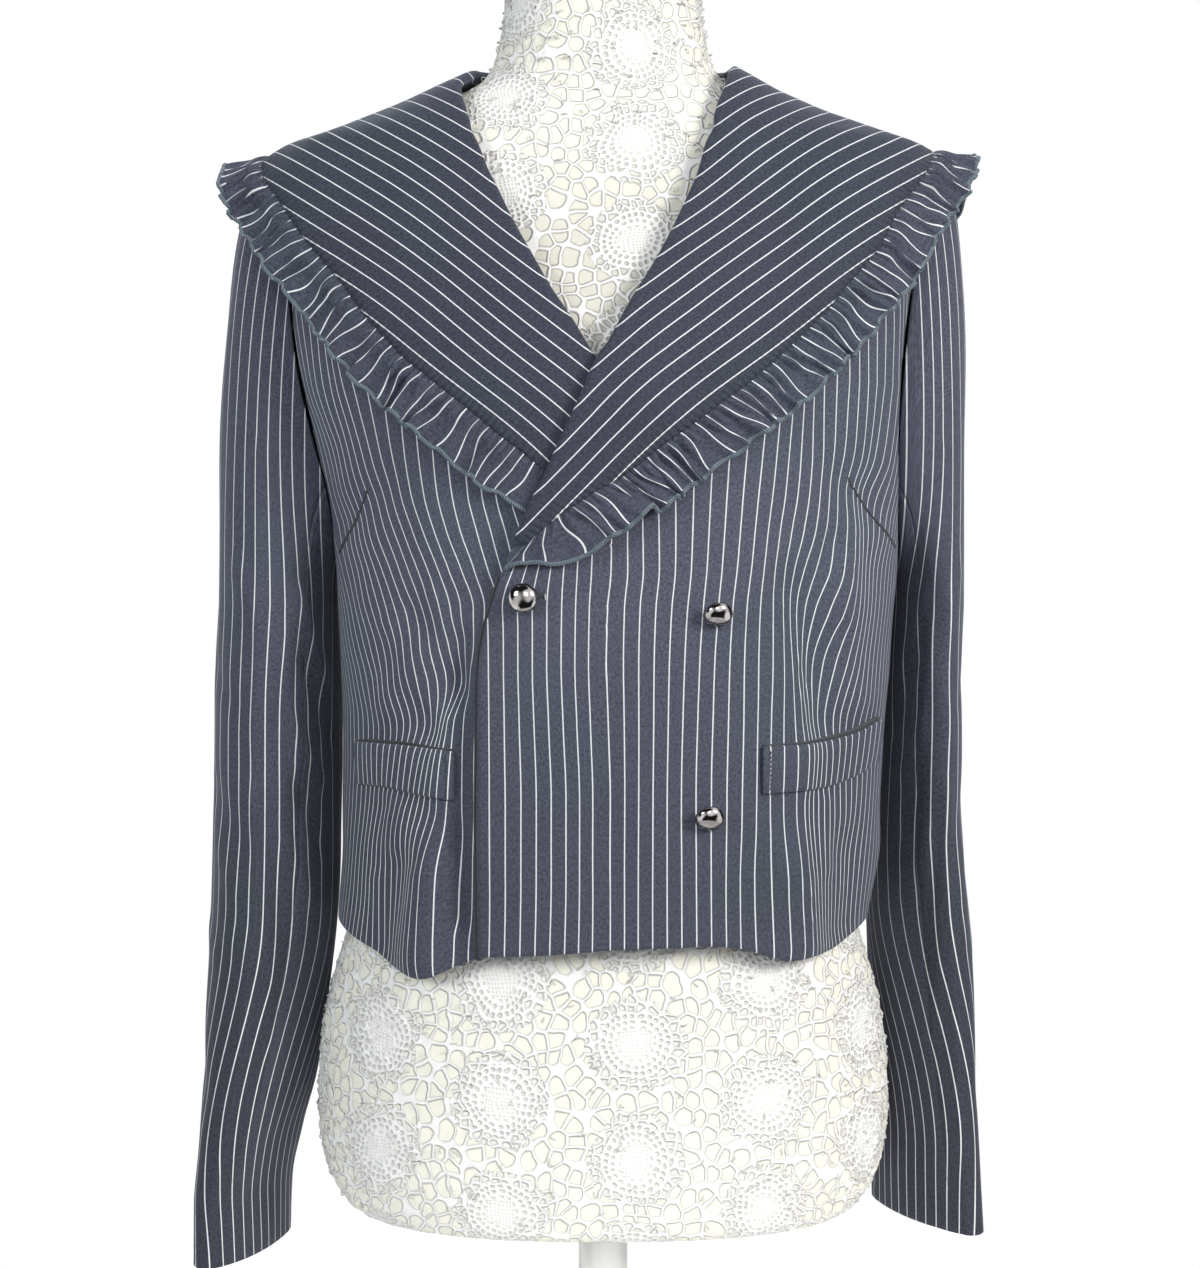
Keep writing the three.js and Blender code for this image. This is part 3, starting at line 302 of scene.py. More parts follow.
def make_mesh(name: str, points: Array, faces: Array, layers: dict[str, Array]) -> Object:
    """Makes a smooth object from arrays, its faces turned outwards.

    Args:
        name: the piece's name.
        points: vertices in millimetres.
        faces: vertex indices of quads, or of triangles.
        layers: UV maps by name, each with one pair of millimetres per vertex.

    Returns:
        The new object, linked to the scene.
    """
    corners = faces.shape[1]
    fan = points[faces[:, 0]], points[faces[:, 1]], points[faces[:, 2]]
    volume = np.einsum("ij,ij->i", fan[0], np.cross(fan[1], fan[2])).sum()
    if corners == 4:
        volume += np.einsum("ij,ij->i", fan[0], np.cross(fan[2], points[faces[:, 3]])).sum()
    if volume < 0:
        faces = faces[:, ::-1]
    mesh = bpy.data.meshes.new(name)
    mesh.vertices.add(len(points))
    mesh.vertices.foreach_set("co", (points * MM).astype(np.float32).ravel())
    mesh.loops.add(faces.size)
    mesh.loops.foreach_set("vertex_index", faces.astype(np.int32).ravel())
    mesh.polygons.add(len(faces))
    mesh.polygons.foreach_set("loop_start", np.arange(0, faces.size, corners, dtype=np.int32))
    for layer, values in layers.items():
        uv = mesh.uv_layers.new(name=layer)
        uv.data.foreach_set("uv", (values[faces.ravel()] * MM).astype(np.float32).ravel())
    mesh.update(calc_edges=True)
    mesh.validate()
    mesh.shade_smooth()
    obj = bpy.data.objects.new(name, mesh)
    bpy.context.scene.collection.objects.link(obj)
    return obj


def normals(points: Array) -> Array:
    """Returns the unit normals of a grid of points: the cross product of its steps across and down."""
    return unit(np.cross(np.gradient(points, axis=1), np.gradient(points, axis=0)))


def capped(name: str, rings: Array, ends: Array, cut: Array, end_cut: Pair) -> Object:
    """Makes a closed body of rings, with a fan to a point at each end.

    Args:
        name: the piece's name.
        rings: points in millimetres, shape (rings, sides, 3).
        ends: the first and the last point.
        cut: cut coordinates of the rings' points.
        end_cut: cut coordinates of the last point; the first one has (0, 0).

    Returns:
        The new object.
    """
    sides = rings.shape[1]
    index = np.arange(rings[..., 0].size).reshape(rings.shape[:2])
    after = np.roll(index, -1, axis=1)
    a, b, c, d = (part.ravel() for part in (index[:-1], after[:-1], after[1:], index[1:]))
    first, last = np.full(sides, index.size), np.full(sides, index.size + 1)
    triangles = ((a, b, c), (a, c, d), (after[0], index[0], first), (index[-1], after[-1], last))
    faces = np.concatenate([np.stack(three, axis=1) for three in triangles])
    points = np.concatenate([rings.reshape(-1, 3), ends])
    return make_mesh(name, points, faces, {"Cut": np.concatenate([cut.reshape(-1, 2), [(0, 0), end_cut]])})


def tube(name: str, path: Array, radius: Array | float, sides: int) -> Object:
    """A round cord or thread along a path, with rounded closed ends.

    Args:
        name: the piece's name.
        path: points in millimetres, shape (n, 3).
        radius: one radius, or one for each point.
        sides: faces round it.

    Returns:
        The new object, with the map "Cut" giving the way along and round it in millimetres.
    """
    radius = np.broadcast_to(np.asarray(radius, float), (len(path),))
    run = unit(np.gradient(path, axis=0))
    guide = np.where(np.abs(run[:, 2:]) > 0.9, [[1.0, 0, 0]], [[0, 0, 1.0]])
    across = unit(np.cross(run, guide))
    up = np.cross(across, run)
    turn = np.linspace(0, 2 * math.pi, sides, endpoint=False)
    ring = across[:, None] * np.cos(turn)[None, :, None] + up[:, None] * np.sin(turn)[None, :, None]
    length = running_length(np.linalg.norm(np.diff(path, axis=0), axis=1))
    cut = np.stack(np.broadcast_arrays(length[:, None], turn[None] * radius.mean()), axis=-1)
    ends = [path[0] - run[0] * radius[0] * 0.6, path[-1] + run[-1] * radius[-1] * 0.6]
    return capped(name, path[:, None] + ring * radius[:, None, None], ends, cut, (length[-1], 0))


def lathe(name: str, profile: Array, sides: int, axis: Array, place: Array) -> Object:
    """A turned piece: a profile of radius and height carried round an axis.

    Args:
        name: the piece's name.
        profile: radius and height of each ring, from one end on the axis to the other, shape (n, 2).
        sides: faces round it.
        axis: direction of the height.
        place: where height 0 lies on the axis.

    Returns:
        The new closed object.
    """
    axis = unit(np.asarray(axis, float))
    guide = np.array([1.0, 0, 0]) if abs(axis[0]) < 0.9 else np.array([0, 1.0, 0])
    across = unit(np.cross(axis, guide))
    along = np.cross(axis, across)
    turn = np.linspace(0, 2 * math.pi, sides, endpoint=False)
    ring = across * np.cos(turn)[:, None] + along * np.sin(turn)[:, None]
    body = ring[None] * profile[1:-1, 0, None, None] + axis * profile[1:-1, 1, None, None] + place
    ends = axis * profile[[0, -1], 1][:, None] + place
    length = running_length(np.linalg.norm(np.diff(profile, axis=0), axis=1))
    radius = max(profile[:, 0].max(), 1e-3)
    cut = np.stack(np.broadcast_arrays(turn[None] * radius, length[1:-1, None]), axis=-1)
    return capped(name, body, ends, cut, (0, length[-1]))


# ---- The worn body ----
BODY = Table(
    ("z", "right", "left", "front", "back", "capeRight", "capeLeft"),
    (
        (225, 150, 148, 118, 100, 150, 148),
        (250, 150, 149, 118, 100, 150, 149),
        (300, 147, 157, 119, 96, 147, 157),
        (350, 147, 158, 119, 94, 147, 158),
        (400, 149, 162, 120, 94, 149, 162),
        (450, 151, 167, 122, 98, 151, 167),
        (483, 155, 168, 123, 102, 155, 168),
        (529, 168, 170, 123, 106, 170, 172),
        (563, 176, 173, 118, 108, 183, 180),
        (600, 180, 177, 108, 107, 198, 191),
        (630, 181, 180, 96, 103, 210, 202),
        (660, 180, 180, 83, 96, 206, 201),
        (683, 172, 176, 73, 88, 183, 185),
        (695, 145, 146, 68, 81, 149, 150),
        (706, 120, 120, 63, 74, 121, 122),
        (717, 97, 96, 59, 67, 97, 96),
        (728, 74, 73, 56, 61, 74, 73),
        (736, 66, 66, 54, 57, 66, 66),
        (748, 62, 62, 52, 55, 62, 62),
        (765, 60, 60, 51, 54, 60, 60),
    ),
)
FRONT_HEM = Table(
    ("x", "z"),
    (
        (-150, 256), (-131, 248), (-112, 239), (-95, 235), (-76, 243), (-62, 248), (-30, 250),
        (8, 253), (55, 254), (75, 251), (98, 244), (122, 246), (150, 258),
    ),
)
BACK_HEM = Table(
    ("x", "z"),
    ((-150, 256), (-100, 249), (-45, 245), (0, 248), (55, 244), (105, 250), (150, 258)),
)
LEFT_EDGE = Table(
    ("z", "x"),
    ((225, -64), (278, -65), (382, -65), (405, -63.5), (418, -61), (433, -56), (450, -50), (466, -44)),
)
RIGHT_EDGE = Table(("z", "x"), ((225, 60), (420, 60), (455, 50), (485, 33), (512, 15), (526, 7)))
# A fold is a line from (x1, z1) to (x2, z2) on the front (side 1) or back (side -1), its half width,
# and its height, which is negative for a trough.
FOLDS = Table(
    ("side", "x1", "z1", "x2", "z2", "half", "height"),
    (
        (1, -97, 232, -88, 308, 13, 7),
        (1, -122, 240, -108, 306, 11, -4),
        (1, -78, 242, -80, 318, 8, -3),
        (1, 100, 238, 103, 308, 14, 6),
        (1, 74, 244, 80, 306, 11, -3),
        (1, 130, 250, 128, 310, 10, -3),
        (1, -98, 362, -74, 402, 9, -3),
        (1, -118, 372, -84, 418, 10, 3),
        (1, 116, 362, 96, 452, 11, -4),
        (1, 138, 372, 124, 456, 11, 3),
        (1, -142, 470, -112, 500, 12, -3),
        (1, 152, 476, 124, 506, 12, -3),
        (-1, -60, 240, -48, 380, 15, 6),
        (-1, 62, 238, 50, 372, 15, 6),
        (-1, -104, 240, -92, 350, 13, -4),
        (-1, 108, 240, 94, 344, 13, -4),
        (-1, 2, 238, 0, 360, 14, -3),
        (-1, -128, 470, -70, 520, 15, -4),
        (-1, 130, 472, 72, 524, 15, -4),
    ),
)
# Finer creases over them: the drag to the wrap's button, the slack under the pockets and at the darts.
FINE_FOLDS = Table(
    FOLDS.names,
    (
        (1, -104, 432, -70, 378, 5, -1.6),
        (1, -92, 440, -66, 392, 5, 1.4),
        (1, -118, 424, -84, 366, 5, 1.2),
        (1, -104, 326, -112, 296, 4, 1.5),
        (1, -90, 326, -101, 290, 4, -1.4),
        (1, -119, 326, -124, 286, 4, -1.2),
        (1, -77, 262, -76, 420, 6.5, -6.0),
        (1, 112, 440, 122, 470, 5, -1.4),
        (1, 126, 420, 134, 462, 5, 1.2),
        (1, 118, 330, 121, 286, 4, 1.3),
        (1, 108, 330, 108, 288, 4, -1.2),
        (1, 40, 430, 58, 400, 9, -0.8),
        (1, 38, 325, 60, 300, 9, -0.8),
        (1, -30, 440, -6, 470, 9, 0.9),
        (1, -30, 432, 4, 440, 9, -0.8),
        (1, -20, 400, 30, 414, 16, 0.9),
        (1, -30, 290, 20, 300, 20, 0.8),
        (-1, -30, 470, -96, 430, 8, -1.6),
        (-1, 34, 474, 100, 430, 8, -1.6),
        (-1, -112, 420, -60, 400, 9, 1.5),
        (-1, 112, 420, 60, 398, 9, 1.5),
        (-1, -20, 300, -26, 250, 8, 1.8),
        (-1, 28, 300, 30, 250, 8, -1.6),
        (-1, -84, 330, -78, 262, 7, 1.6),
        (-1, 82, 326, 80, 262, 7, 1.4),
    ),
)


@dataclass(frozen=True)
class BodyShape:
    """The worn body as a surface: angle 0 is the middle of the front, +90 degrees the wearer's left."""

    roundness: float = 2.4
    overlap: tuple[float, float, float] = (2.4, 72, 100)  # lift of the upper front, and where it fades
    cover: tuple[float, ...] = (4.4, -2, 562, -44, -92, 20, 58)  # more lift where it covers the collar
    hem_level: float = 250
    free_hem_top: float = 330
    shoulder_tip: float = 683

    def bulge(self, value: Array) -> Array:
        """Returns the sine or cosine of a rounded oval: the value to the power 2 / roundness."""
        return np.sign(value) * np.abs(value) ** (2 / self.roundness)

    def half_width(self, z: Array, x: Array, cape: bool = False) -> Array:
        """Half width of the level section on the side where x lies."""
        names = ("capeLeft", "capeRight") if cape else ("left", "right")
        return np.where(np.asarray(x) >= 0, BODY.read(z, names[0]), BODY.read(z, names[1]))

    def surface(self, angle: Array, z: Array, cape: bool = False) -> Array:
        """Point of the body at an angle and a height.

        Args:
            angle: radians round the body.
            z: height.
            cape: whether to use the wider form that the collar lies on.

        Returns:
            Points on an oval whose half width and depth come from the table of sections.
        """
        angle, z = np.broadcast_arrays(np.asarray(angle, float), np.asarray(z, float))
        sideways, forward = np.sin(angle), np.cos(angle)
        depth = np.where(forward >= 0, BODY.read(z, "front"), BODY.read(z, "back"))
        x = self.half_width(z, sideways, cape) * self.bulge(sideways)
        return np.stack([x, -depth * self.bulge(forward), z], axis=-1)

    def normal(self, angle: Array, z: Array, cape: bool = False) -> Array:
        """Outward unit normal, from small steps round and up."""
        step = 0.01
        around = self.surface(angle + step, z, cape) - self.surface(angle - step, z, cape)
        up = self.surface(angle, z + 1, cape) - self.surface(angle, z - 1, cape)
        return unit(np.cross(around, up))

    def above(self, angle: Array, z: Array, height: Array | float, cape: bool = False) -> Array:
        """Point at a height over the body, along its normal."""
        z = np.asarray(z, float)
        return self.surface(angle, z, cape) + self.normal(angle, z, cape) * np.asarray(height)[..., None]

    def reach_angle(self, side: int, reach: Array, z: Array, face: Face, cape: bool = False) -> Array:
        """Angle on one side of a place that reaches so far towards that side.

        Args:
            side: +1 for the wearer's left, -1 for the right.
            reach: sideways distance, negative past the middle.
            z: height.
            face: front or back half.
            cape: whether the collar's form is meant.

        Returns:
            0 at the front's middle, growing to pi at the back's.
        """
        reach = np.asarray(reach, float)
        share = np.clip(np.abs(reach) / self.half_width(z, side * reach, cape), 0, 1)
        angle = np.arcsin(share ** (self.roundness / 2)) * np.sign(reach)
        return angle if face is Face.FRONT else math.pi - angle

    def depth_angle(self, depth: Array, z: Array, face: Face) -> Array:
        """Angle of a place so far before, or behind, the side line."""
        share = np.clip(depth / BODY.read(z, face.value), 0, 1)
        angle = np.arccos(share ** (self.roundness / 2))
        return angle if face is Face.FRONT else math.pi - angle

    def arc(self, start: Array, end: Array, z: Array) -> Array:
        """Length along a level section between two angles, which is negative if end is before start."""
        t = np.linspace(0, 1, 33)
        angle = start[..., None] + (end - start)[..., None] * t
        points = self.surface(angle, np.broadcast_to(np.asarray(z)[..., None], angle.shape))
        return np.linalg.norm(np.diff(points, axis=-2), axis=-1).sum(axis=-1) * np.sign(end - start)

    def spread(self, start: Array, end: Array, z: Array, shares: Array) -> Array:
        """Angles at even shares of the curve between two angles, one row for each height.

        Args:
            start: first angle of each row.
            end: last angle of each row.
            z: height of each row.
            shares: wanted shares, from 0 to 1.

        Returns:
            Angles, shape (rows, shares).
        """
        t = np.linspace(0, 1, 81)
        angle = start[:, None] + (end - start)[:, None] * t
        points = self.surface(angle, np.broadcast_to(z[:, None], angle.shape))
        run = running_length(np.linalg.norm(np.diff(points, axis=1), axis=-1))
        run = run / np.maximum(run[:, -1:], 1e-9)
        return read_rows(run, angle, np.broadcast_to(shares, (len(z), len(shares))))

    def folds(self, angle: Array, z: Array, fine: bool = True) -> Array:
        """Height of all the folds at a place of the body.

        Args:
            angle: radians round the body.
            z: height.
            fine: whether to add the fine creases and the cloth's uneven rest.

        Returns:
            The sum over the folds of height times exp(-(distance / half width)^2), faded at its ends.
        """
        x = self.surface(angle, z)[..., 0]
        facing = np.where(np.cos(angle) >= 0, 1, -1)
        total = np.zeros_like(x)
        rows = FOLDS.rows + (FINE_FOLDS.rows if fine else ())
        for side, x1, z1, x2, z2, half, height in rows:
            total += np.where(facing == side, height * fold_share(x, z, x1, z1, x2, z2, half), 0)
        total *= smooth(np.abs(np.cos(angle)), 0.05, 0.35)
        if fine:
            total += 0.9 * wobble(x * 1.3, z * 0.7, 1.0 + 2 * facing, 58)
            total += 0.25 * wobble(x, z * 0.6, 4.0, 21)
        return total

    def overlap_lift(self, x: Array, z: Array) -> Array:
        """Lift of the upper front over the lower one, and more over the lower collar."""
        lift, fade_from, fade_to = self.overlap
        more, x0, z0, run_x, run_z, near, far = self.cover
        t = np.clip(((x - x0) * run_x + (z - z0) * run_z) / (run_x**2 + run_z**2), 0, 1)
        distance = np.hypot(x - x0 - t * run_x, z - z0 - t * run_z)
        return lift * (1 - smooth(x, fade_from, fade_to)) + more * (1 - smooth(distance, near, far))

    def front_height(self, side: int, angle: Array, z: Array) -> Array:
        """Height of a front's outer face over the worn body."""
        folds = self.folds(angle, z)
        return folds + self.overlap_lift(self.surface(angle, z)[..., 0], z) if side > 0 else folds


def fold_share(x: Array, z: Array, x1: float, z1: float, x2: float, z2: float, half: float) -> Array:
    """Share of a fold's height left at a place: a soft bell across its line, faded at both ends."""
    length = math.hypot(x2 - x1, z2 - z1)
    along = ((x - x1) * (x2 - x1) + (z - z1) * (z2 - z1)) / length
    across = ((x - x1) * (z2 - z1) - (z - z1) * (x2 - x1)) / length
    ends = smooth(along, -half, half) * (1 - smooth(along, length - 1.6 * half, length + half))
    return np.exp(-((across / half) ** 2)) * ends


WORN = BodyShape()

# ---- The grain: where chosen pinstripes of the fronts run, as x at rising heights ----
LEFT_GRAIN = Table(
    ("z", "0", "5", "10", "14", "18", "20", "22", "24", "26", "28", "30", "32"),
    (
        (250, -58.9, -19.9, 18.1, 48.4, 80.2, 96.5, 109.5, 114.9, 119.2, 123.7, 129.0, 133.5),
        (290, -58.5, -19.1, 18.1, 48.0, 79.4, 95.6, 107.6, 112.0, 117.5, 123.3, 129.8, 134.2),
        (330, -58.5, -19.1, 18.3, 48.0, 79.7, 94.7, 107.2, 111.4, 116.7, 123.4, 130.5, 137.1),
        (370, -59.0, -20.6, 18.4, 48.8, 80.4, 95.2, 107.0, 111.2, 115.9, 124.0, 130.6, 138.6),
        (400, -59.3, -21.6, 18.3, 49.7, 80.7, 96.0, 105.4, 109.3, 117.9, 128.9, 136.1, 142.5),
        (430, -59.2, -21.3, 19.0, 51.5, 81.7, 95.8, 103.6, 113.2, 126.8, 135.6, 141.6, 147.3),
        (450, -52.5, -20.0, 20.7, 53.4, 83.8, 96.1, 106.2, 119.9, 132.0, 138.0, 143.1, 148.8),
        (470, -42.0, -17.4, 20.4, 54.6, 85.9, 98.9, 111.8, 123.6, 135.2, 140.1, 146.9, 153.7),
        (490, -33.0, -10.9, 20.3, 55.6, 88.3, 102.5, 114.8, 125.4, 135.9, 141.6, 150.3, 158.3),
        (510, -28.0, -6.3, 21.3, 56.6, 90.5, 104.4, 116.6, 128.4, 139.7, 147.1, 156.9, 162.0),
        (550, -24.0, -2.3, 24.2, 58.5, 94.7, 106.5, 117.1, 131.3, 142.5, 153.0, 162.6, 167.4),
    ),
)
RIGHT_GRAIN = Table(
    ("z", "0", "1", "2", "3", "4", "6", "8", "10", "12", "14", "16", "18"),
    (
        (250, -58.7, -71.2, -78.9, -87.6, -95.1, -103.6, -108.6, -113.8, -119.9, -126.4, -132.1, -136.8),
        (275, -57.9, -69.5, -78.1, -86.9, -94.2, -101.7, -106.4, -112.4, -118.9, -124.6, -128.9, -133.4),
        (300, -57.0, -68.5, -76.8, -85.7, -92.6, -100.5, -105.0, -111.0, -117.9, -123.2, -127.3, -131.8),
        (325, -56.3, -67.5, -76.3, -83.4, -88.4, -95.2, -101.0, -107.0, -113.7, -118.9, -124.2, -129.0),
        (350, -55.7, -67.8, -76.3, -81.7, -85.5, -90.4, -95.7, -102.4, -108.6, -114.9, -121.4, -127.0),
        (370, -55.1, -67.2, -75.3, -80.1, -82.9, -86.2, -91.6, -99.2, -105.8, -112.7, -119.8, -126.6),
        (390, -54.4, -65.8, -71.8, -75.2, -77.9, -84.0, -91.9, -101.1, -109.0, -116.5, -122.5, -130.6),
        (410, -53.6, -63.8, -67.8, -73.7, -77.2, -86.0, -95.6, -105.1, -112.6, -121.3, -129.2, -136.5),
        (430, -53.8, -61.7, -67.5, -74.3, -79.8, -90.7, -100.7, -110.7, -120.2, -128.3, -134.5, -140.4),
        (450, -59.9, -67.3, -74.1, -81.0, -86.5, -97.9, -108.4, -118.3, -126.1, -132.4, -139.3, -146.2),
        (470, -65.9, -74.5, -81.8, -88.4, -94.5, -106.2, -116.4, -126.4, -132.8, -138.7, -145.0, -153.7),
        (490, -70.7, -79.0, -86.8, -94.1, -101.3, -113.3, -123.5, -132.1, -139.0, -144.2, -150.0, -159.5),
        (515, -72.2, -81.5, -89.1, -97.1, -104.7, -118.8, -129.5, -137.3, -143.7, -149.2, -154.7, -161.6),
        (550, -72.2, -84.0, -90.8, -99.6, -107.2, -126.5, -139.6, -146.7, -155.7, -162.0, -166.5, -171.0),
        (590, -72.2, -86.9, -94.7, -104.5, -114.1, -135.6, -147.5, -152.1, -160.4, -168.8, -173.9, -177.3),
    ),
)


@dataclass(frozen=True)
class Grain:
    """Cut coordinates of a front, from the runs of chosen pinstripes."""

    side: int
    lines: Table
    crowd: float = 1.15  # cloth taken up by ease between the last charted pinstripe and the side seam

    def across(self, angle: Array, z: Array) -> Array:
        """Millimetres across the pinstripes at places of a front.

        Args:
            angle: angle on the front's own side.
            z: height.

        Returns:
            The pinstripe's number between the charted ones, times the pitch. The curve through them
            has the harmonic mean slope at each one. Past them it goes on by the length of the cloth.
        """
        names = self.lines.names[1:]
        numbers = [float(name) for name in names]
        kept = np.clip(z, self.lines.rows[0][0], self.lines.rows[-1][0])
        places = [
            WORN.reach_angle(self.side, self.side * self.lines.read(kept, name), z, Face.FRONT)
            for name in names
        ]
        first, last = places[0], places[-1]
        start, end = first - 0.95, np.full_like(last, math.pi / 2 + 0.02)
        lead = numbers[0] - WORN.arc(self.side * start, self.side * first, z) * self.side / PITCH
        tail = numbers[-1] + WORN.arc(self.side * last, self.side * end, z) * self.side / PITCH * self.crowd
        knots = np.stack([start, *places, end])
        values = np.stack([lead, *(np.full_like(angle, n) for n in numbers), tail])
        knots = np.maximum.accumulate(knots + 1e-4 * np.arange(len(knots))[:, None, None], axis=0)
        slope = np.diff(values, axis=0) / np.maximum(np.diff(knots, axis=0), 1e-4)
        before, after = slope[:-1], slope[1:]
        inner = 2 * before * after / (before + after)
        tangent = np.concatenate([slope[:1], inner, slope[-1:]])
        k = np.clip((angle[None] >= knots).sum(axis=0) - 1, 0, len(knots) - 2)
        (x0, x1), (y0, y1), (slope0, slope1) = (
            [np.take_along_axis(stack, at[None], axis=0)[0] for at in (k, k + 1)]
            for stack in (knots, values, tangent)
        )
        span = np.maximum(x1 - x0, 1e-4)
        t = np.clip((angle - x0) / span, -1, 2)
        weight = (2 * t - 3) * t * t + 1
        turned = span * (((t - 2) * t * t + t) * slope0 + (t - 1) * t * t * slope1)
        return (weight * y0 + (1 - weight) * y1 + turned) * PITCH


# ---- Collar ----
RIGHT_RIBS = Table(
    ("face", "rollX", "rollZ", "seamX", "seamZ", "stand"),
    (
        (1, -8, 540, 22, 496, 9),
        (1, 3, 557, 45, 514, 11),
        (1, 16, 579, 66, 531, 12),
        (1, 29, 599, 86, 547, 12),
        (1, 40, 619, 106, 564, 12),
        (1, 51, 640, 128, 589, 12),
        (1, 61.5, 662, 149, 616, 12),
        (1, 69, 681, 166, 637, 12),
        (1, 75, 700, 178, 655, 12),
        (1, 78, 719, 187, 671, 13),
        (-1, 70, 732, 191, 682, 15),
        (-1, 60, 738, 178, 657, 20),
        (-1, 45, 741, 150, 630, 25),
        (-1, 23, 743, 105, 604, 28),
        (-1, 0, 744, 0, 590, 29),
    ),
)
LEFT_RIBS = Table(
    RIGHT_RIBS.names,
    (
        (1, -44, 466, -39, 462, 4),
        (1, -38, 481, -26, 475, 5),
        (1, -30, 497, -12, 485, 8),
        (1, -21, 518, 8, 497, 11),
        (1, -11, 539, 27, 512, 12),
        (1, 0, 561, 53, 531, 12),
        (1, 14, 586, 76, 548, 12),
        (1, 27, 609, 98, 568, 12),
        (1, 38, 630, 116, 586, 12),
        (1, 49, 655, 137, 611, 12),
        (1, 56, 678, 156, 640, 12),
        (1, 62, 700, 172, 662, 12),
        (1, 68, 720, 181, 678, 13),
        (-1, 69, 732, 188, 684, 15),
        (-1, 60, 738, 176, 659, 20),
        (-1, 45, 741, 148, 631, 25),
        (-1, 23, 743, 104, 605, 28),
        (-1, 0, 744, 0, 590, 29),
    ),
)


@dataclass
class CollarShape:
    """The collar as one row of ribs, from the left front end round the neck to the right one."""

    cloth: float = 1.5
    roll_radius: float = 2.0
    roll_share: float = 0.24
    rib_steps: int = 48
    table: Table = field(init=False)
    length: float = field(init=False)
    back_middle: float = field(init=False)

    def __post_init__(self) -> None:
        """Measures how far along the collar each rib of the tables lies."""
        left = [self.rib(row, 1) for row in LEFT_RIBS.rows]
        right = [self.rib(row, -1) for row in RIGHT_RIBS.rows[:-1]][::-1]
        ribs = np.array(left + right)
        middle = WORN.surface((ribs[:, 0] + ribs[:, 2]) / 2, (ribs[:, 1] + ribs[:, 3]) / 2, True)
        distance = running_length(np.linalg.norm(np.diff(middle, axis=0), axis=1))
        rows = tuple(tuple(row) for row in np.column_stack([distance, ribs]))
        self.table = Table(("distance", "roll", "rollZ", "seam", "seamZ", "stand"), rows)
        self.length = float(distance[-1])
        self.back_middle = float(distance[len(left) - 1])

    @staticmethod
    def rib(row: tuple[float, ...], side: int) -> tuple[float, ...]:
        """Angles and heights of one rib's fold and seam, which go on past pi on the right side."""
        face = Face.FRONT if row[0] > 0 else Face.BACK
        roll = float(WORN.reach_angle(side, row[1], row[2], face, True))
        seam = float(WORN.reach_angle(side, row[3], row[4], face, True))
        start = 0 if side > 0 else 2 * math.pi
        return start + side * roll, row[2], start + side * seam, row[4], row[5]

    def ribs(self, distance: Array) -> dict[str, Array]:
        """Reads the ribs at distances along the collar, with their width and fold radius."""
        rib = {name: self.table.read(distance, name) for name in self.table.names[1:]}
        t = np.linspace(0, 1, self.rib_steps + 1)
        angle = mix(rib["roll"][:, None], rib["seam"][:, None], t)
        z = mix(rib["rollZ"][:, None], rib["seamZ"][:, None], t)
        run = running_length(np.linalg.norm(np.diff(WORN.surface(angle, z, True), axis=1), axis=-1))
        rib["width"] = run[:, -1]
        rib["radius"] = np.minimum(self.roll_radius, self.roll_share * rib["width"])
        rib["run"] = run / run[:, -1:]
        return rib

    def place(self, rib: dict[str, Array], from_fold: Array) -> tuple[Array, Array]:
        """Angle and height on the collar's form at distances from the fold, shape (ribs, places)."""
        wanted = from_fold / rib["width"][:, None]
        t = np.broadcast_to(np.linspace(0, 1, self.rib_steps + 1), rib["run"].shape)
        share = read_rows(rib["run"], t, np.clip(wanted, 0, 1))
        share = share + np.where(wanted < 0, wanted, 0) + np.where(wanted > 1, wanted - 1, 0)
        angle = mix(rib["roll"][:, None], rib["seam"][:, None], share)
        return angle, mix(rib["rollZ"][:, None], rib["seamZ"][:, None], share)

    def point(self, rib: dict[str, Array], from_fold: Array, height: Array) -> Array:
        """Point at a distance from the fold and a height over the collar's form."""
        angle, z = self.place(rib, from_fold)
        return WORN.above(angle, z, height, True)

    def lift(self, distance: Array, rib: dict[str, Array], from_fold: Array) -> Array:
        """Lift of the collar's left end, which lies on the upper front."""
        spot = self.point(rib, from_fold, np.zeros_like(from_fold))
        lying = (distance[:, None] < self.back_middle) & (spot[..., 1] < 0)
        return np.where(lying, WORN.overlap_lift(spot[..., 0], spot[..., 2]), 0)


COLLAR = CollarShape()


@dataclass(frozen=True)
class Neckline:
    """The line where the collar is sewn on, as an angle and height on each side."""

    curved_seam: float = 1.0
    steps: int = 320

    def rows(self, side: int, face: Face) -> tuple[Array, Array]:
        """The neckline of one side.

        Args:
            side: +1 for the wearer's left, -1 for the right.
            face: the part up the front to the shoulder, or the part round the back.

        Returns:
            Own angles and heights, from the front end upwards, or from the shoulder to the back's middle.
        """
        distance = np.linspace(0, COLLAR.length, self.steps + 1)
        rib = COLLAR.ribs(distance)
        stand = (rib["stand"] + self.curved_seam)[:, None]
        spot = COLLAR.point(rib, stand, np.zeros_like(stand))[:, 0]
        on = distance <= COLLAR.back_middle if side > 0 else distance > COLLAR.back_middle
        x, y, z = spot[on].T
        share = (np.abs(x) / WORN.half_width(z, x)) ** (WORN.roundness / 2)
        angle = np.arcsin(np.clip(share, 0, 1)) * np.sign(side * x)
        angle = np.where(y < 0, angle, math.pi - angle)
        if side < 0:
            angle, z = angle[::-1], z[::-1]
        top = int(np.argmax(angle > math.pi / 2))
        return (angle[:top], z[:top]) if face is Face.FRONT else (angle[top:], z[top:])


NECK = Neckline()


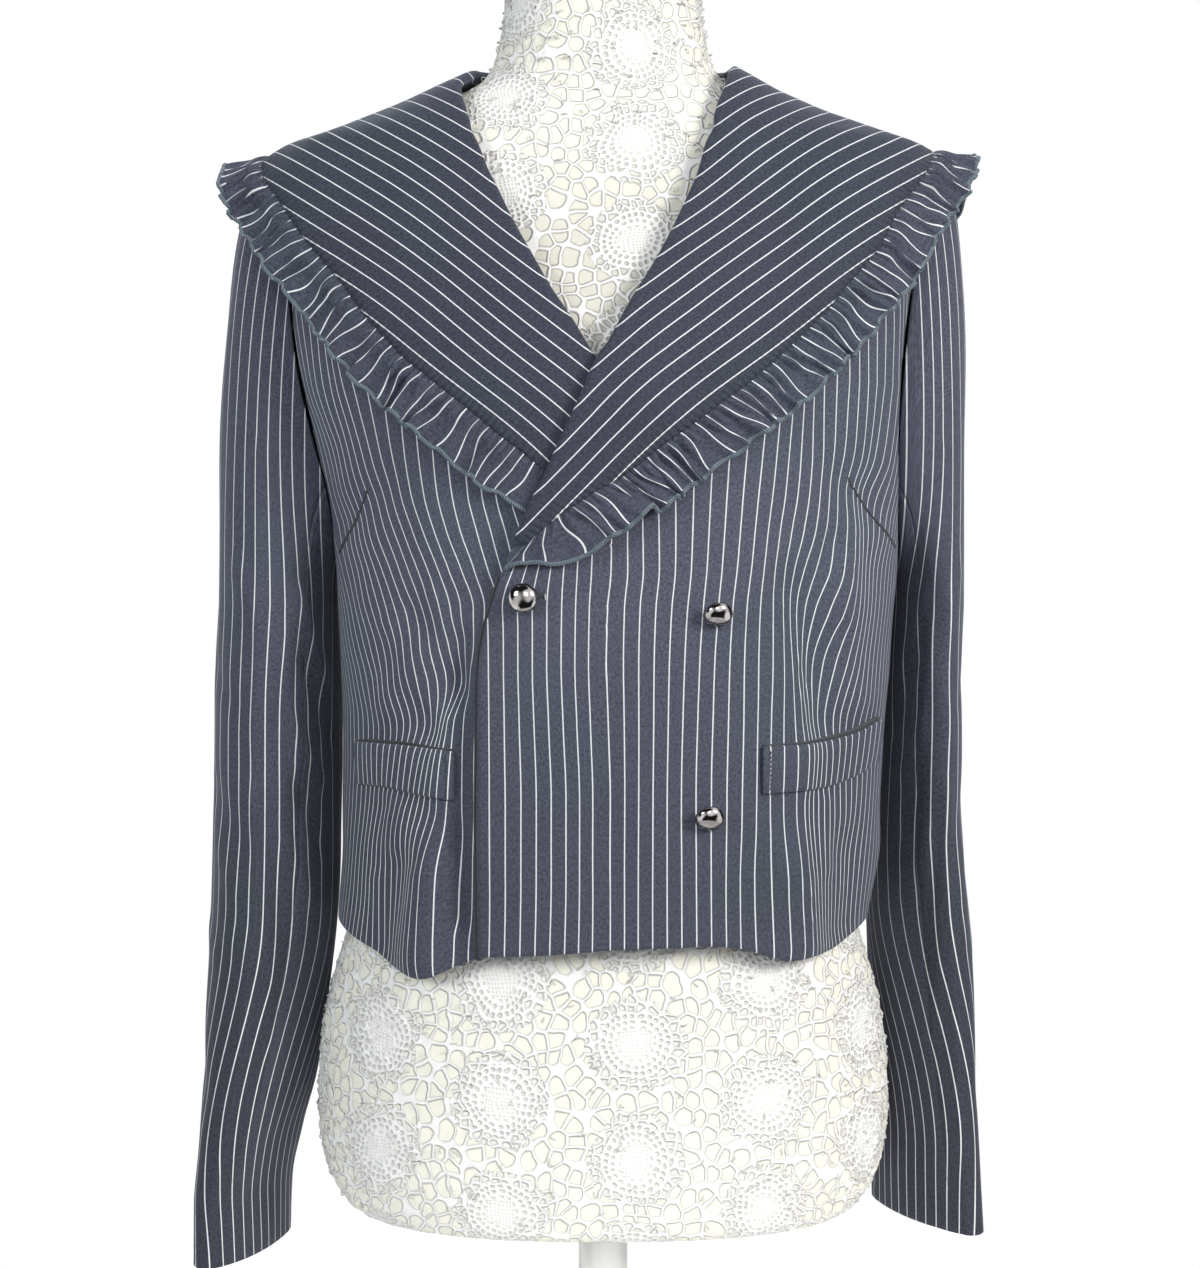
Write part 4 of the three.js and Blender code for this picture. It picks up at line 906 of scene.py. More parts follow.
@dataclass(frozen=True)
class Armhole:
    """An egg standing on the side of the body, wider below its middle."""

    middle: float = 567
    half_height: float = 116
    front: float = 46
    back: float = 50
    egg: float = 0.25
    seam: float = 0.3

    def depth(self, z: Array, face: Face) -> Array:
        """Its depth before, or behind, the side line at a height."""
        cosine = np.clip((z - self.middle) / self.half_height, -1, 1)
        reach = self.front if face is Face.FRONT else self.back
        return reach * np.sqrt(1 - cosine**2) * (1 - self.egg * cosine)

    def outer_angle(self, z: Array, face: Face) -> Array:
        """Angle of a panel's outer edge: side seam, armhole or shoulder seam."""
        depth = np.where(z < WORN.shoulder_tip, self.depth(z, face), 0)
        return WORN.depth_angle(np.maximum(depth, 0) + self.seam / 2, z, face)


ARMHOLE = Armhole()


# ---- Finishes ----
def rgb(red: float, green: float, blue: float) -> tuple[float, float, float, float]:
    """Colour of a screen value from 0 to 255, as the shader counts it."""
    share = (red / 255, green / 255, blue / 255)
    return tuple(c / 12.92 if c <= 0.04045 else ((c + 0.055) / 1.055) ** 2.4 for c in share) + (1.0,)


class Nodes:
    """Short names for adding and joining shader nodes in one tree."""

    def __init__(self, tree: bpy.types.NodeTree) -> None:
        """Keeps the tree."""
        self.tree = tree

    def add(self, kind: str, **settings: object) -> Node:
        """Adds a node of a kind and sets its properties."""
        node = self.tree.nodes.new(kind)
        for name, value in settings.items():
            setattr(node, name, value)
        return node

    def feed(self, socket: Socket, value: object) -> None:
        """Joins a socket to another node's output, or sets its own value."""
        if isinstance(value, Socket):
            self.tree.links.new(value, socket)
        else:
            socket.default_value = value

    def math(self, operation: str, *values: object) -> Socket:
        """Returns the result of a Math node on the values."""
        node = self.add("ShaderNodeMath", operation=operation)
        for socket, value in zip(node.inputs, values):
            self.feed(socket, value)
        return node.outputs[0]

    def length(self, x: object, y: object) -> Socket:
        """Returns the length of a step of x and y."""
        return self.math("SQRT", self.math("MULTIPLY_ADD", x, x, self.math("MULTIPLY", y, y)))

    def centred(self, value: object) -> Socket:
        """Returns the part of a value past its last whole number, less a half."""
        return self.math("SUBTRACT", self.math("FRACT", value), 0.5)

    def blend(self, share: object, first: object, second: object, mode: str = "MIX") -> Socket:
        """Returns two colours mixed by a share."""
        node = self.add("ShaderNodeMix", data_type="RGBA", blend_type=mode)
        self.feed(node.inputs[0], share)
        self.feed(node.inputs[6], first)
        self.feed(node.inputs[7], second)
        return node.outputs[2]

    def shade(self, colour: object, by: object) -> Socket:
        """Returns a colour multiplied by a number."""
        return self.blend(1.0, colour, self.place(by, by, by), "MULTIPLY")

    def ramp(self, value: object, low: object, high: object, start: float = 0.0, end: float = 1.0) -> Socket:
        """Returns a value carried smoothly from the range low to high to the range start to end."""
        node = self.add("ShaderNodeMapRange", interpolation_type="SMOOTHSTEP")
        for socket, part in zip(node.inputs, (value, low, high, start, end)):
            self.feed(socket, part)
        return node.outputs["Result"]

    def blend_value(self, share: object, first: object, second: object) -> Socket:
        """Returns two numbers mixed by a share."""
        node = self.add("ShaderNodeMix", data_type="FLOAT")
        for socket, value in zip(node.inputs[0:1] + node.inputs[2:4], (share, first, second)):
            self.feed(socket, value)
        return node.outputs[0]

    def noise(self, place: object, scale: float, detail: float = 2.0, rough: float = 0.5) -> Socket:
        """Returns cloudy noise from 0 to 1 at a place."""
        node = self.add("ShaderNodeTexNoise")
        self.feed(node.inputs["Vector"], place)
        self.feed(node.inputs["Scale"], scale)
        self.feed(node.inputs["Detail"], detail)
        self.feed(node.inputs["Roughness"], rough)
        return node.outputs["Fac"]

    def place(self, x: object, y: object, z: object = 0.0) -> Socket:
        """Returns three numbers joined into a place."""
        node = self.add("ShaderNodeCombineXYZ")
        for socket, value in zip(node.inputs, (x, y, z)):
            self.feed(socket, value)
        return node.outputs[0]

    def uv(self, name: str) -> tuple[Socket, Socket]:
        """Returns a UV map's two coordinates in millimetres."""
        split = self.add("ShaderNodeSeparateXYZ")
        self.feed(split.inputs[0], self.add("ShaderNodeUVMap", uv_map=name).outputs[0])
        return tuple(self.math("MULTIPLY", split.outputs[k], 1 / MM) for k in (0, 1))


def new_group(name: str, inputs: dict[str, float], outputs: tuple[str, ...]) -> tuple[Nodes, Node, Node]:
    """Starts a group of shader nodes that takes and gives numbers.

    Args:
        name: its name.
        inputs: name and default of each input.
        outputs: name of each output.

    Returns:
        Its node helper, and its input and output nodes.
    """
    tree = bpy.data.node_groups.new(name, "ShaderNodeTree")
    for label, default in inputs.items():
        socket = tree.interface.new_socket(label, in_out="INPUT", socket_type="NodeSocketFloat")
        socket.default_value = default
    for label in outputs:
        tree.interface.new_socket(label, in_out="OUTPUT", socket_type="NodeSocketFloat")
    nodes = Nodes(tree)
    return nodes, nodes.add("NodeGroupInput"), nodes.add("NodeGroupOutput")


def weave_group() -> None:
    """Makes a group for the twill of two yarns: slanting ribs, flecks and slow changes of shade.

    It reads the cut coordinates, and puts out a shade around 1 and a height from 0 to 1.
    """
    n, _, out = new_group("Twill weave", {}, ("Shade", "Height"))
    u, v = n.uv("Cut")
    rib = n.math("SINE", n.math("MULTIPLY", n.math("MULTIPLY_ADD", v, TWILL_SLANT, u), 2 * math.pi / TWILL))
    yarn = n.math("SINE", n.math("MULTIPLY", v, 2 * math.pi / YARN))
    fleck = n.noise(n.place(n.math("MULTIPLY", u, 0.75), n.math("MULTIPLY", v, 0.6)), 1.0, 3.0, 0.8)
    cloud = n.noise(n.place(u, v), 0.02, 3.0)
    shade = n.math("MULTIPLY_ADD", cloud, 0.24, 0.88)
    shade = n.math("MULTIPLY", n.math("MULTIPLY_ADD", fleck, 3.2, -0.6), shade)
    height = n.math("MULTIPLY_ADD", rib, 0.3, n.math("MULTIPLY", fleck, 0.5))
    n.feed(out.inputs["Shade"], n.math("MULTIPLY_ADD", rib, 0.12, shade))
    n.feed(out.inputs["Height"], n.math("MULTIPLY_ADD", yarn, 0.12, height))


def pinstripe_group() -> None:
    """Makes a group for pale pinstripes a fixed pitch apart, with slightly uneven edges.

    It reads the cut coordinates, and puts out how much of the pinstripe's yarn lies on the surface.
    Where the cloth is pushed together, the map "Ease" keeps its pinstripes from getting too narrow.
    """
    n, given, out = new_group("Pinstripe", {"Pitch": PITCH, "Width": STRIPE}, ("Stripe",))
    u, v = n.uv("Cut")
    ease, _ = n.uv("Ease")
    turn = n.math("ADD", n.math("DIVIDE", u, given.outputs["Pitch"]), 0.5)
    away = n.math("MULTIPLY", n.math("ABSOLUTE", n.centred(turn)), given.outputs["Pitch"])
    uneven = n.noise(n.place(n.math("MULTIPLY", u, 0.8), n.math("MULTIPLY", v, 1.6)), 1.0, 2.0, 0.6)
    away = n.math("MULTIPLY_ADD", n.math("SUBTRACT", uneven, 0.5), 0.2, away)
    half = n.math("MULTIPLY", n.math("MULTIPLY", given.outputs["Width"], 0.5), n.math("POWER", ease, 0.6))
    inner, outer = n.math("SUBTRACT", half, 0.1), n.math("ADD", half, 0.1)
    thin = n.ramp(uneven, 0.25, 0.5, 0.78, 1.0)
    n.feed(out.inputs["Stripe"], n.math("MULTIPLY", n.ramp(away, inner, outer, 1.0, 0.0), thin))


@dataclass(frozen=True)
class Suiting:
    """Charcoal navy twill with pale pinstripes."""

    ground: Colour = rgb(77, 79, 94)
    ground_teal: Colour = rgb(71, 80, 91)
    stripe: Colour = rgb(238, 242, 244)
    roughness: float = 0.82
    sheen: float = 0.25
    sheen_tint: Colour = rgb(196, 204, 222)
    pucker_shade: Colour = rgb(30, 34, 42)
    painted_light_falloff: tuple[float, ...] = (0, 1, 1.0, 1.0)  # painted light: from and to along the cloth, and how bright the cloth is painted at both

    def build(self, name: str, puckered: bool = False) -> Material:
        """Makes the cloth's material.

        Args:
            name: the material's name.
            puckered: whether the map "Seam" gives a gathered seam to pucker along.

        Returns:
            A material that reads the cut coordinates.
        """
        material, n, shader = new_material(name)
        weave = n.add("ShaderNodeGroup", node_tree=bpy.data.node_groups["Twill weave"])
        stripe = n.add("ShaderNodeGroup", node_tree=bpy.data.node_groups["Pinstripe"])
        yarn = stripe.outputs["Stripe"]
        u, v = n.uv("Cut")
        tint = n.blend(n.ramp(n.noise(n.place(u, v), 0.008, 1.0), 0.42, 0.75), self.ground, self.ground_teal)
        # painted light: the ground is painted darker or lighter along the cloth, as light falls off
        ground = n.shade(n.shade(tint, weave.outputs["Shade"]), n.ramp(v, *self.painted_light_falloff))
        colour = n.blend(yarn, ground, self.stripe)
        height = n.math("MULTIPLY_ADD", yarn, 0.5, weave.outputs["Height"])
        if puckered:
            along, away = n.uv("Seam")
            near = n.math("POWER", 2.718, n.math("MULTIPLY", away, -0.2))
            drift = n.math("MULTIPLY", n.noise(n.place(along, 0.0), 0.15), 6.0)
            wave = n.math("SINE", n.math("MULTIPLY_ADD", along, 1.75, drift))
            shadow = n.math("MULTIPLY", near, n.ramp(wave, -1.0, 0.2, 0.62, 0.0))
            colour = n.blend(shadow, colour, self.pucker_shade)
            height = n.math("MULTIPLY_ADD", n.math("MULTIPLY", near, wave), 3.0, height)
        n.feed(shader.inputs["Base Color"], colour)
        n.feed(shader.inputs["Roughness"], n.math("MULTIPLY_ADD", yarn, -0.15, self.roughness))
        shader.inputs["Sheen Weight"].default_value = self.sheen
        shader.inputs["Sheen Roughness"].default_value = 0.4
        shader.inputs["Sheen Tint"].default_value = self.sheen_tint
        shader.inputs["Specular IOR Level"].default_value = 0.3
        add_bump(n, shader, height, 0.35, 0.00035)
        return material


def new_material(name: str) -> tuple[Material, Nodes, Node]:
    """Returns a new material, its node helper and its shader."""
    material = bpy.data.materials.new(name)
    material.use_nodes = True
    nodes = Nodes(material.node_tree)
    return material, nodes, material.node_tree.nodes["Principled BSDF"]


def add_bump(n: Nodes, shader: Node, height: object, strength: float, distance: float) -> None:
    """Puts a height on the shader's normal.

    Args:
        n: the material's node helper.
        shader: its shader.
        height: the height's socket.
        strength: share of the bump used.
        distance: metres that a height of one stands for.
    """
    bump = n.add("ShaderNodeBump")
    bump.inputs["Strength"].default_value = strength
    bump.inputs["Distance"].default_value = distance
    n.feed(bump.inputs["Height"], height)
    n.feed(shader.inputs["Normal"], bump.outputs[0])


@dataclass(frozen=True)
class Thread:
    """Twisted sewing or serging thread, with slanting strands along the cord."""

    colour: Colour = rgb(112, 128, 138)
    dark: Colour = rgb(58, 72, 82)
    strand: float = 1.5
    roughness: float = 0.7

    def build(self, name: str) -> Material:
        """Makes the thread's material."""
        material, n, shader = new_material(name)
        u, v = n.uv("Cut")
        slant = n.math("ADD", u, n.math("MULTIPLY", v, 0.55))
        wave = n.math("SINE", n.math("MULTIPLY", slant, 2 * math.pi / self.strand))
        fuzz = n.noise(n.place(u, v), 1.3, 3.0, 0.7)
        share = n.ramp(n.math("ADD", wave, n.math("MULTIPLY", fuzz, 0.8)), -0.9, 0.9)
        n.feed(shader.inputs["Base Color"], n.blend(share, self.dark, self.colour))
        n.feed(shader.inputs["Roughness"], n.ramp(fuzz, 0.2, 0.8, self.roughness - 0.1, self.roughness + 0.1))
        shader.inputs["Sheen Weight"].default_value = 0.2
        add_bump(n, shader, n.math("ADD", wave, fuzz), 0.6, 0.0003)
        return material


@dataclass(frozen=True)
class Gunmetal:
    """Dark mirror-bright metal of the buttons, with faint polishing scratches."""

    colour: Colour = rgb(158, 155, 154)
    dull: Colour = rgb(130, 127, 126)
    roughness: float = 0.07

    def build(self, name: str) -> Material:
        """Makes the metal's material."""
        material, n, shader = new_material(name)
        where = n.add("ShaderNodeTexCoord").outputs["Object"]
        haze = n.noise(where, 900.0, 3.0, 0.6)
        cloud = n.noise(where, 160.0, 2.0)
        n.feed(shader.inputs["Base Color"], n.blend(n.ramp(cloud, 0.3, 0.7), self.colour, self.dull))
        n.feed(shader.inputs["Roughness"], n.ramp(haze, 0.3, 0.8, self.roughness, self.roughness + 0.1))
        shader.inputs["Metallic"].default_value = 1.0
        add_bump(n, shader, haze, 0.05, 0.0001)
        return material


@dataclass(frozen=True)
class CrochetCover:
    """Off-white crochet cover: round doilies joined by rows of larger loops, over a cream form."""

    thread: Colour = rgb(255, 255, 254)
    hole: Colour = rgb(253, 251, 238)
    # deep: painted shade inside the small holes of the rings and the mesh, a little darker than the large
    # holes
    deep: Colour = rgb(246, 244, 238)
    shadow: Colour = rgb(190, 187, 176)
    first: Pair = (17.0, 23.0)  # middle of a doily
    column: float = 72.0
    row: float = 63.0
    sway: float = 12.0
    mesh: float = 2.0
    mesh_end: Pair = (8.4, 9.2)
    ring: float = 3.7
    hole_radius: float = 1.15
    ring_end: Pair = (21.5, 22.5)
    small: Pair = (5.0, 0.62)  # size of a cell and half the width of its threads
    small_end: Pair = (28.0, 29.0)
    large: Pair = (10.5, 0.8)
    dusk: tuple[float, ...] = (480.0, 560.0, 640.0, 730.0)  # heights between which the cover lies in shade

    @staticmethod
    def cells(n: Nodes, u: object, v: object, size: float, thread: float) -> Socket:
        """Uneven rounded cells that touch each other along threads.

        Args:
            n: the material's node helper.
            u: one coordinate.
            v: the other one.
            size: the usual distance between the middles of two cells.
            thread: half the width of the threads between them.

        Returns:
            Millimetres from the thread's side into the cell, negative on the thread.
        """
        reach = []
        for feature in ("DISTANCE_TO_EDGE", "F1"):
            cells = n.add("ShaderNodeTexVoronoi", feature=feature, voronoi_dimensions="2D")
            n.feed(cells.inputs["Vector"], n.place(u, v))
            cells.inputs["Scale"].default_value = 1 / size
            cells.inputs["Randomness"].default_value = 0.75
            reach.append(cells.outputs["Distance"])
        from_side = n.math("MULTIPLY_ADD", reach[0], size, -thread)
        return n.math("SMOOTH_MIN", from_side, n.math("MULTIPLY_ADD", reach[1], -size, 0.56 * size), 0.8)

    def rings(self, n: Nodes, x: object, y: object, away: object) -> Socket:
        """Rings of round holes about a doily's middle.

        Args:
            n: the material's node helper.
            x: sideways distance from the middle.
            y: upward distance.
            away: their length.

        Returns:
            Millimetres from a hole's edge inwards, negative on the thread.
        """
        out = n.math("DIVIDE", away, self.ring)
        number = n.math("FLOOR", out)
        middle = n.math("MULTIPLY", n.math("ADD", number, 0.5), self.ring)
        petals = n.math("ROUND", n.math("MULTIPLY", middle, 2 * math.pi / (self.ring * 1.02)))
        turn = n.math("DIVIDE", n.math("ARCTAN2", y, x), 2 * math.pi)
        sideways = n.centred(n.math("MULTIPLY_ADD", turn, petals, n.math("MULTIPLY", number, 0.37)))
        return n.math("MULTIPLY_ADD", n.length(n.centred(out), sideways), -self.ring, self.hole_radius)

    def squares(self, n: Nodes, x: object, y: object) -> Socket:
        """Returns millimetres from the thread's side into the holes of a fine square mesh."""
        off = (n.math("ABSOLUTE", n.centred(n.math("DIVIDE", part, self.mesh))) for part in (x, y))
        return n.math("MULTIPLY_ADD", n.math("MAXIMUM", *off), -self.mesh, self.mesh / 2 - 0.32)

    def build(self, name: str) -> Material:
        """Makes the cover's material.

        Args:
            name: the material's name.

        Returns:
            Doilies stand in columns, every other column half a row lower. Inside a doily, rings of
            holes go round a fine square mesh. Outside it the holes are larger uneven cells.
        """
        material, n, shader = new_material(name)
        girth, level = n.uv("Cut")
        slow = n.add("ShaderNodeTexNoise")
        n.feed(slow.inputs["Vector"], n.place(girth, level))
        slow.inputs["Scale"].default_value = 0.035
        drift = n.add("ShaderNodeSeparateXYZ")
        n.feed(drift.inputs[0], slow.outputs["Color"])
        u, v = (
            n.math("MULTIPLY_ADD", n.math("SUBTRACT", part, 0.5), self.sway, place)
            for part, place in zip(drift.outputs, (girth, level))
        )
        across = n.math("DIVIDE", n.math("SUBTRACT", u, self.first[0]), self.column)
        count = n.math("ROUND", across)
        x = n.math("MULTIPLY", n.math("SUBTRACT", across, count), self.column)
        lower = n.math("MULTIPLY", n.math("PINGPONG", count, 1.0), 0.5)
        up = n.math("SUBTRACT", n.math("DIVIDE", n.math("SUBTRACT", v, self.first[1]), self.row), lower)
        y = n.math("MULTIPLY", n.math("SUBTRACT", up, n.math("ROUND", up)), self.row)
        away = n.length(x, y)
        wide = n.math("MULTIPLY_ADD", n.noise(n.place(u, v), 0.45, 2.0), 5.0, away)
        gap = n.ramp(wide, *self.small_end)
        large = self.cells(n, n.math("MULTIPLY", u, 1.15), v, *self.large)
        into = n.blend_value(gap, self.cells(n, v, u, *self.small), large)
        into = n.blend_value(n.ramp(wide, *self.ring_end), self.rings(n, x, y, away), into)
        into = n.blend_value(n.ramp(away, *self.mesh_end), self.squares(n, x, y), into)
        fuzz = n.noise(n.place(u, v), 1.1, 4.0, 0.7)
        into = n.math("MULTIPLY_ADD", n.math("SUBTRACT", fuzz, 0.5), 0.9, into)
        inside = n.ramp(into, 0.0, 0.35)
        low, darkest, paler, high = self.dusk
        dusk = n.math("MULTIPLY", n.ramp(level, low, darkest), n.ramp(level, high, paler))
        # small holes get the deep colour as painted shade, large holes the hole colour
        inner = n.blend(gap, self.deep, self.hole)
        inner = n.blend(n.math("MULTIPLY", dusk, 0.45), inner, self.shadow)
        colour = n.blend(inside, self.thread, inner)
        drawn = n.ramp(away, 5.0, 18.0, 0.3, 1.0)
        edge = n.math("MULTIPLY", n.math("MULTIPLY", inside, n.ramp(into, 1.25, 0.45)), drawn)
        shaded = n.math("MULTIPLY", edge, n.math("MULTIPLY_ADD", dusk, 0.35, 0.32))
        colour = n.blend(shaded, colour, self.shadow)
        colour = n.blend(n.math("MULTIPLY", n.ramp(fuzz, 0.55, 0.3), 0.1), colour, self.shadow)
        n.feed(shader.inputs["Base Color"], colour)
        n.feed(shader.inputs["Roughness"], n.ramp(fuzz, 0.2, 0.8, 0.78, 0.95))
        shader.inputs["Specular IOR Level"].default_value = 0.25
        raised = n.math("MULTIPLY", n.ramp(into, 0.7, -0.5), drawn)
        add_bump(n, shader, n.math("MULTIPLY_ADD", fuzz, 0.3, raised), 1.0, 0.0011)
        return material


@dataclass(frozen=True)
class PaintedMetal:
    """Pale painted metal of the stand, with a fine orange-peel skin and light wear."""

    colour: Colour = rgb(243, 243, 241)
    worn: Colour = rgb(222, 222, 220)

    def build(self, name: str) -> Material:
        """Makes the paint's material."""
        material, n, shader = new_material(name)
        where = n.add("ShaderNodeTexCoord").outputs["Object"]
        peel, wear = n.noise(where, 420.0, 2.0), n.noise(where, 26.0, 4.0, 0.65)
        n.feed(shader.inputs["Base Color"], n.blend(n.ramp(wear, 0.58, 0.75), self.colour, self.worn))
        n.feed(shader.inputs["Roughness"], n.ramp(wear, 0.3, 0.8, 0.32, 0.5))
        shader.inputs["Metallic"].default_value = 0.1
        add_bump(n, shader, peel, 0.12, 0.0002)
        return material


@dataclass(frozen=True)
class StudioPaper:
    """Matt white paper of the floor."""

    colour: Colour = rgb(250, 250, 250)
    speck: Colour = rgb(225, 225, 225)

    def build(self, name: str) -> Material:
        """Makes the paper's material."""
        material, n, shader = new_material(name)
        grain = n.noise(n.add("ShaderNodeTexCoord").outputs["Object"], 30.0)
        n.feed(shader.inputs["Base Color"], n.blend(n.math("MULTIPLY", grain, 0.04), self.colour, self.speck))
        shader.inputs["Roughness"].default_value = 0.9
        shader.inputs["Specular IOR Level"].default_value = 0.1
        shader.inputs["Emission Color"].default_value = (1, 1, 1, 1)
        seen = n.add("ShaderNodeLightPath").outputs["Is Camera Ray"]
        n.feed(shader.inputs["Emission Strength"], n.math("MULTIPLY_ADD", seen, 0.7, 0.15))
        return material


class Held(Enum):
    """How a sheet of cloth is held."""

    DRAPED = "draped"
    GATHERED = "gathered"
    STRETCHED = "stretched"


def finish_piece(obj: Object, material: Material, slot: str | None = None, *nodes: str) -> None:
    """Gives a piece its material and body, and hides the CAD nodes that it replaces.

    Args:
        obj: the piece.
        material: its finish.
        slot: not used.
        nodes: names of the CAD nodes that it replaces.
    """
    obj.data.materials.append(material)
    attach(obj, "root")
    if nodes:
        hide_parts(*nodes)
    LOG.info("%s: %d faces", obj.name, len(obj.data.polygons))


def finish_cloth(shell: Shell, material: Material) -> None:
    """Args:
        shell: the piece, named after the CAD node that it replaces.
        material: its finish.
    """
    obj = shell.build()
    finish_piece(obj, material, "suiting", shell.name.removesuffix("_cloth"))


# ---- Body panels ----
@dataclass
class FrontPanel:
    """One front of the blazer, from the hem to the shoulder seam."""

    side: int
    grain: Grain
    cloth: float = 1.5
    columns: int = 92
    step: float = 2.4

    def inner_angle(self, z: Array, neck: tuple[Array, Array]) -> Array:
        """Own angle of the inner edge: the free edge below, and the neckline above."""
        angle, height = neck
        edge = LEFT_EDGE if self.side > 0 else RIGHT_EDGE
        free = WORN.reach_angle(self.side, self.side * edge.read(z, "x"), z, Face.FRONT)
        sewn = np.interp(z, height, angle) + 0.025 * (1 - smooth(z, height[0] + 2, height[0] + 8))
        return mix(free, sewn, smooth(z, height[0] - 2, height[0] + 2))

    def grid(self) -> tuple[Array, Array]:
        """Angles and heights of the panel's points, in rows from the hem to the shoulder."""
        neck = NECK.rows(self.side, Face.FRONT)
        top = float(neck[1][-1])
        level = np.linspace(WORN.hem_level, top, int((top - WORN.hem_level) / self.step) + 1)
        inner, outer = self.inner_angle(level, neck), ARMHOLE.outer_angle(level, Face.FRONT)
        angle = WORN.spread(self.side * inner, self.side * outer, level, np.linspace(0, 1, self.columns + 1))
        rows = np.broadcast_to(level[:, None], angle.shape)
        hem = FRONT_HEM.read(WORN.surface(angle, rows)[..., 0], "z")
        share = (rows - WORN.hem_level) / (WORN.free_hem_top - WORN.hem_level)
        return angle, np.where(rows < WORN.free_hem_top, mix(hem, WORN.free_hem_top, share), rows)

    def cut(self, angle: Array, z: Array) -> Array:
        """Cut coordinates at places of this front."""
        return np.stack([self.grain.across(self.side * angle, z), z], axis=-1)

    def point(self, angle: Array, z: Array, lift: Array | float = 0.0) -> Array:
        """Point so far over this front's outer face."""
        return WORN.above(angle, z, WORN.front_height(self.side, angle, z) + lift)

    def shell(self, name: str) -> Shell:
        """Returns the panel as a shell, one cloth thick."""
        angle, z = self.grid()
        return Shell(name, self.point(angle, z), self.point(angle, z, -self.cloth), self.cut(angle, z))


@dataclass
class BackPanel:
    """The back, from side seam to side seam and up to the collar."""

    cloth: float = 1.5
    columns: int = 150
    step: float = 2.6
    crown_rows: int = 16

    def grid(self) -> tuple[Array, Array]:
        """Angles and heights of its points, in rows from the hem to the neckline."""
        neck = {side: NECK.rows(side, Face.BACK) for side in (1, -1)}
        share = np.linspace(0, 1, self.columns + 1)
        side = np.where(share <= 0.5, 1, -1)
        own = np.abs(1 - 2 * share)
        tip = WORN.shoulder_tip
        level = np.linspace(WORN.hem_level, tip, int((tip - WORN.hem_level) / self.step) + 1)
        edge = ARMHOLE.outer_angle(level, Face.BACK)
        half = WORN.spread(np.full_like(level, math.pi), edge, level, np.sort(own[side > 0]))
        other = WORN.spread(np.full_like(level, -math.pi), -edge, level, np.sort(own[side < 0]))
        angle = np.concatenate([half[:, ::-1], other], axis=1)
        rows = np.broadcast_to(level[:, None], angle.shape)
        hem = BACK_HEM.read(WORN.surface(angle, rows)[..., 0], "z")
        free = (rows - WORN.hem_level) / (WORN.free_hem_top - WORN.hem_level)
        z = np.where(rows < WORN.free_hem_top, mix(hem, WORN.free_hem_top, free), rows)
        crown_edge = float(ARMHOLE.outer_angle(np.array(tip + 1.0), Face.BACK))
        crown = mix(math.pi, crown_edge, own)
        tops = [np.interp(crown, neck[s][0], neck[s][1]) - ARMHOLE.seam for s in (1, -1)]
        top = np.where(side > 0, tops[0], tops[1])
        climb = np.linspace(0, 1, self.crown_rows + 1)[1:, None]
        start = np.abs(angle[-1])[None]
        crown_angle = mix(start, crown[None], smooth(climb, 0, 0.25)) * side
        return np.concatenate([angle, crown_angle]), np.concatenate([z, mix(tip, top[None], climb)])

    def shell(self, name: str) -> Shell:
        """Returns the back as a shell, with its pinstripes along the middle of the back."""
        angle, z = self.grid()
        across = WORN.arc(np.where(angle > 0, math.pi, -math.pi) + 0 * angle, angle, z)
        folds = WORN.folds(angle, z)
        outer, inner = WORN.above(angle, z, folds), WORN.above(angle, z, folds - self.cloth)
        return Shell(name, outer, inner, np.stack([-across + 4.0, z], axis=-1))


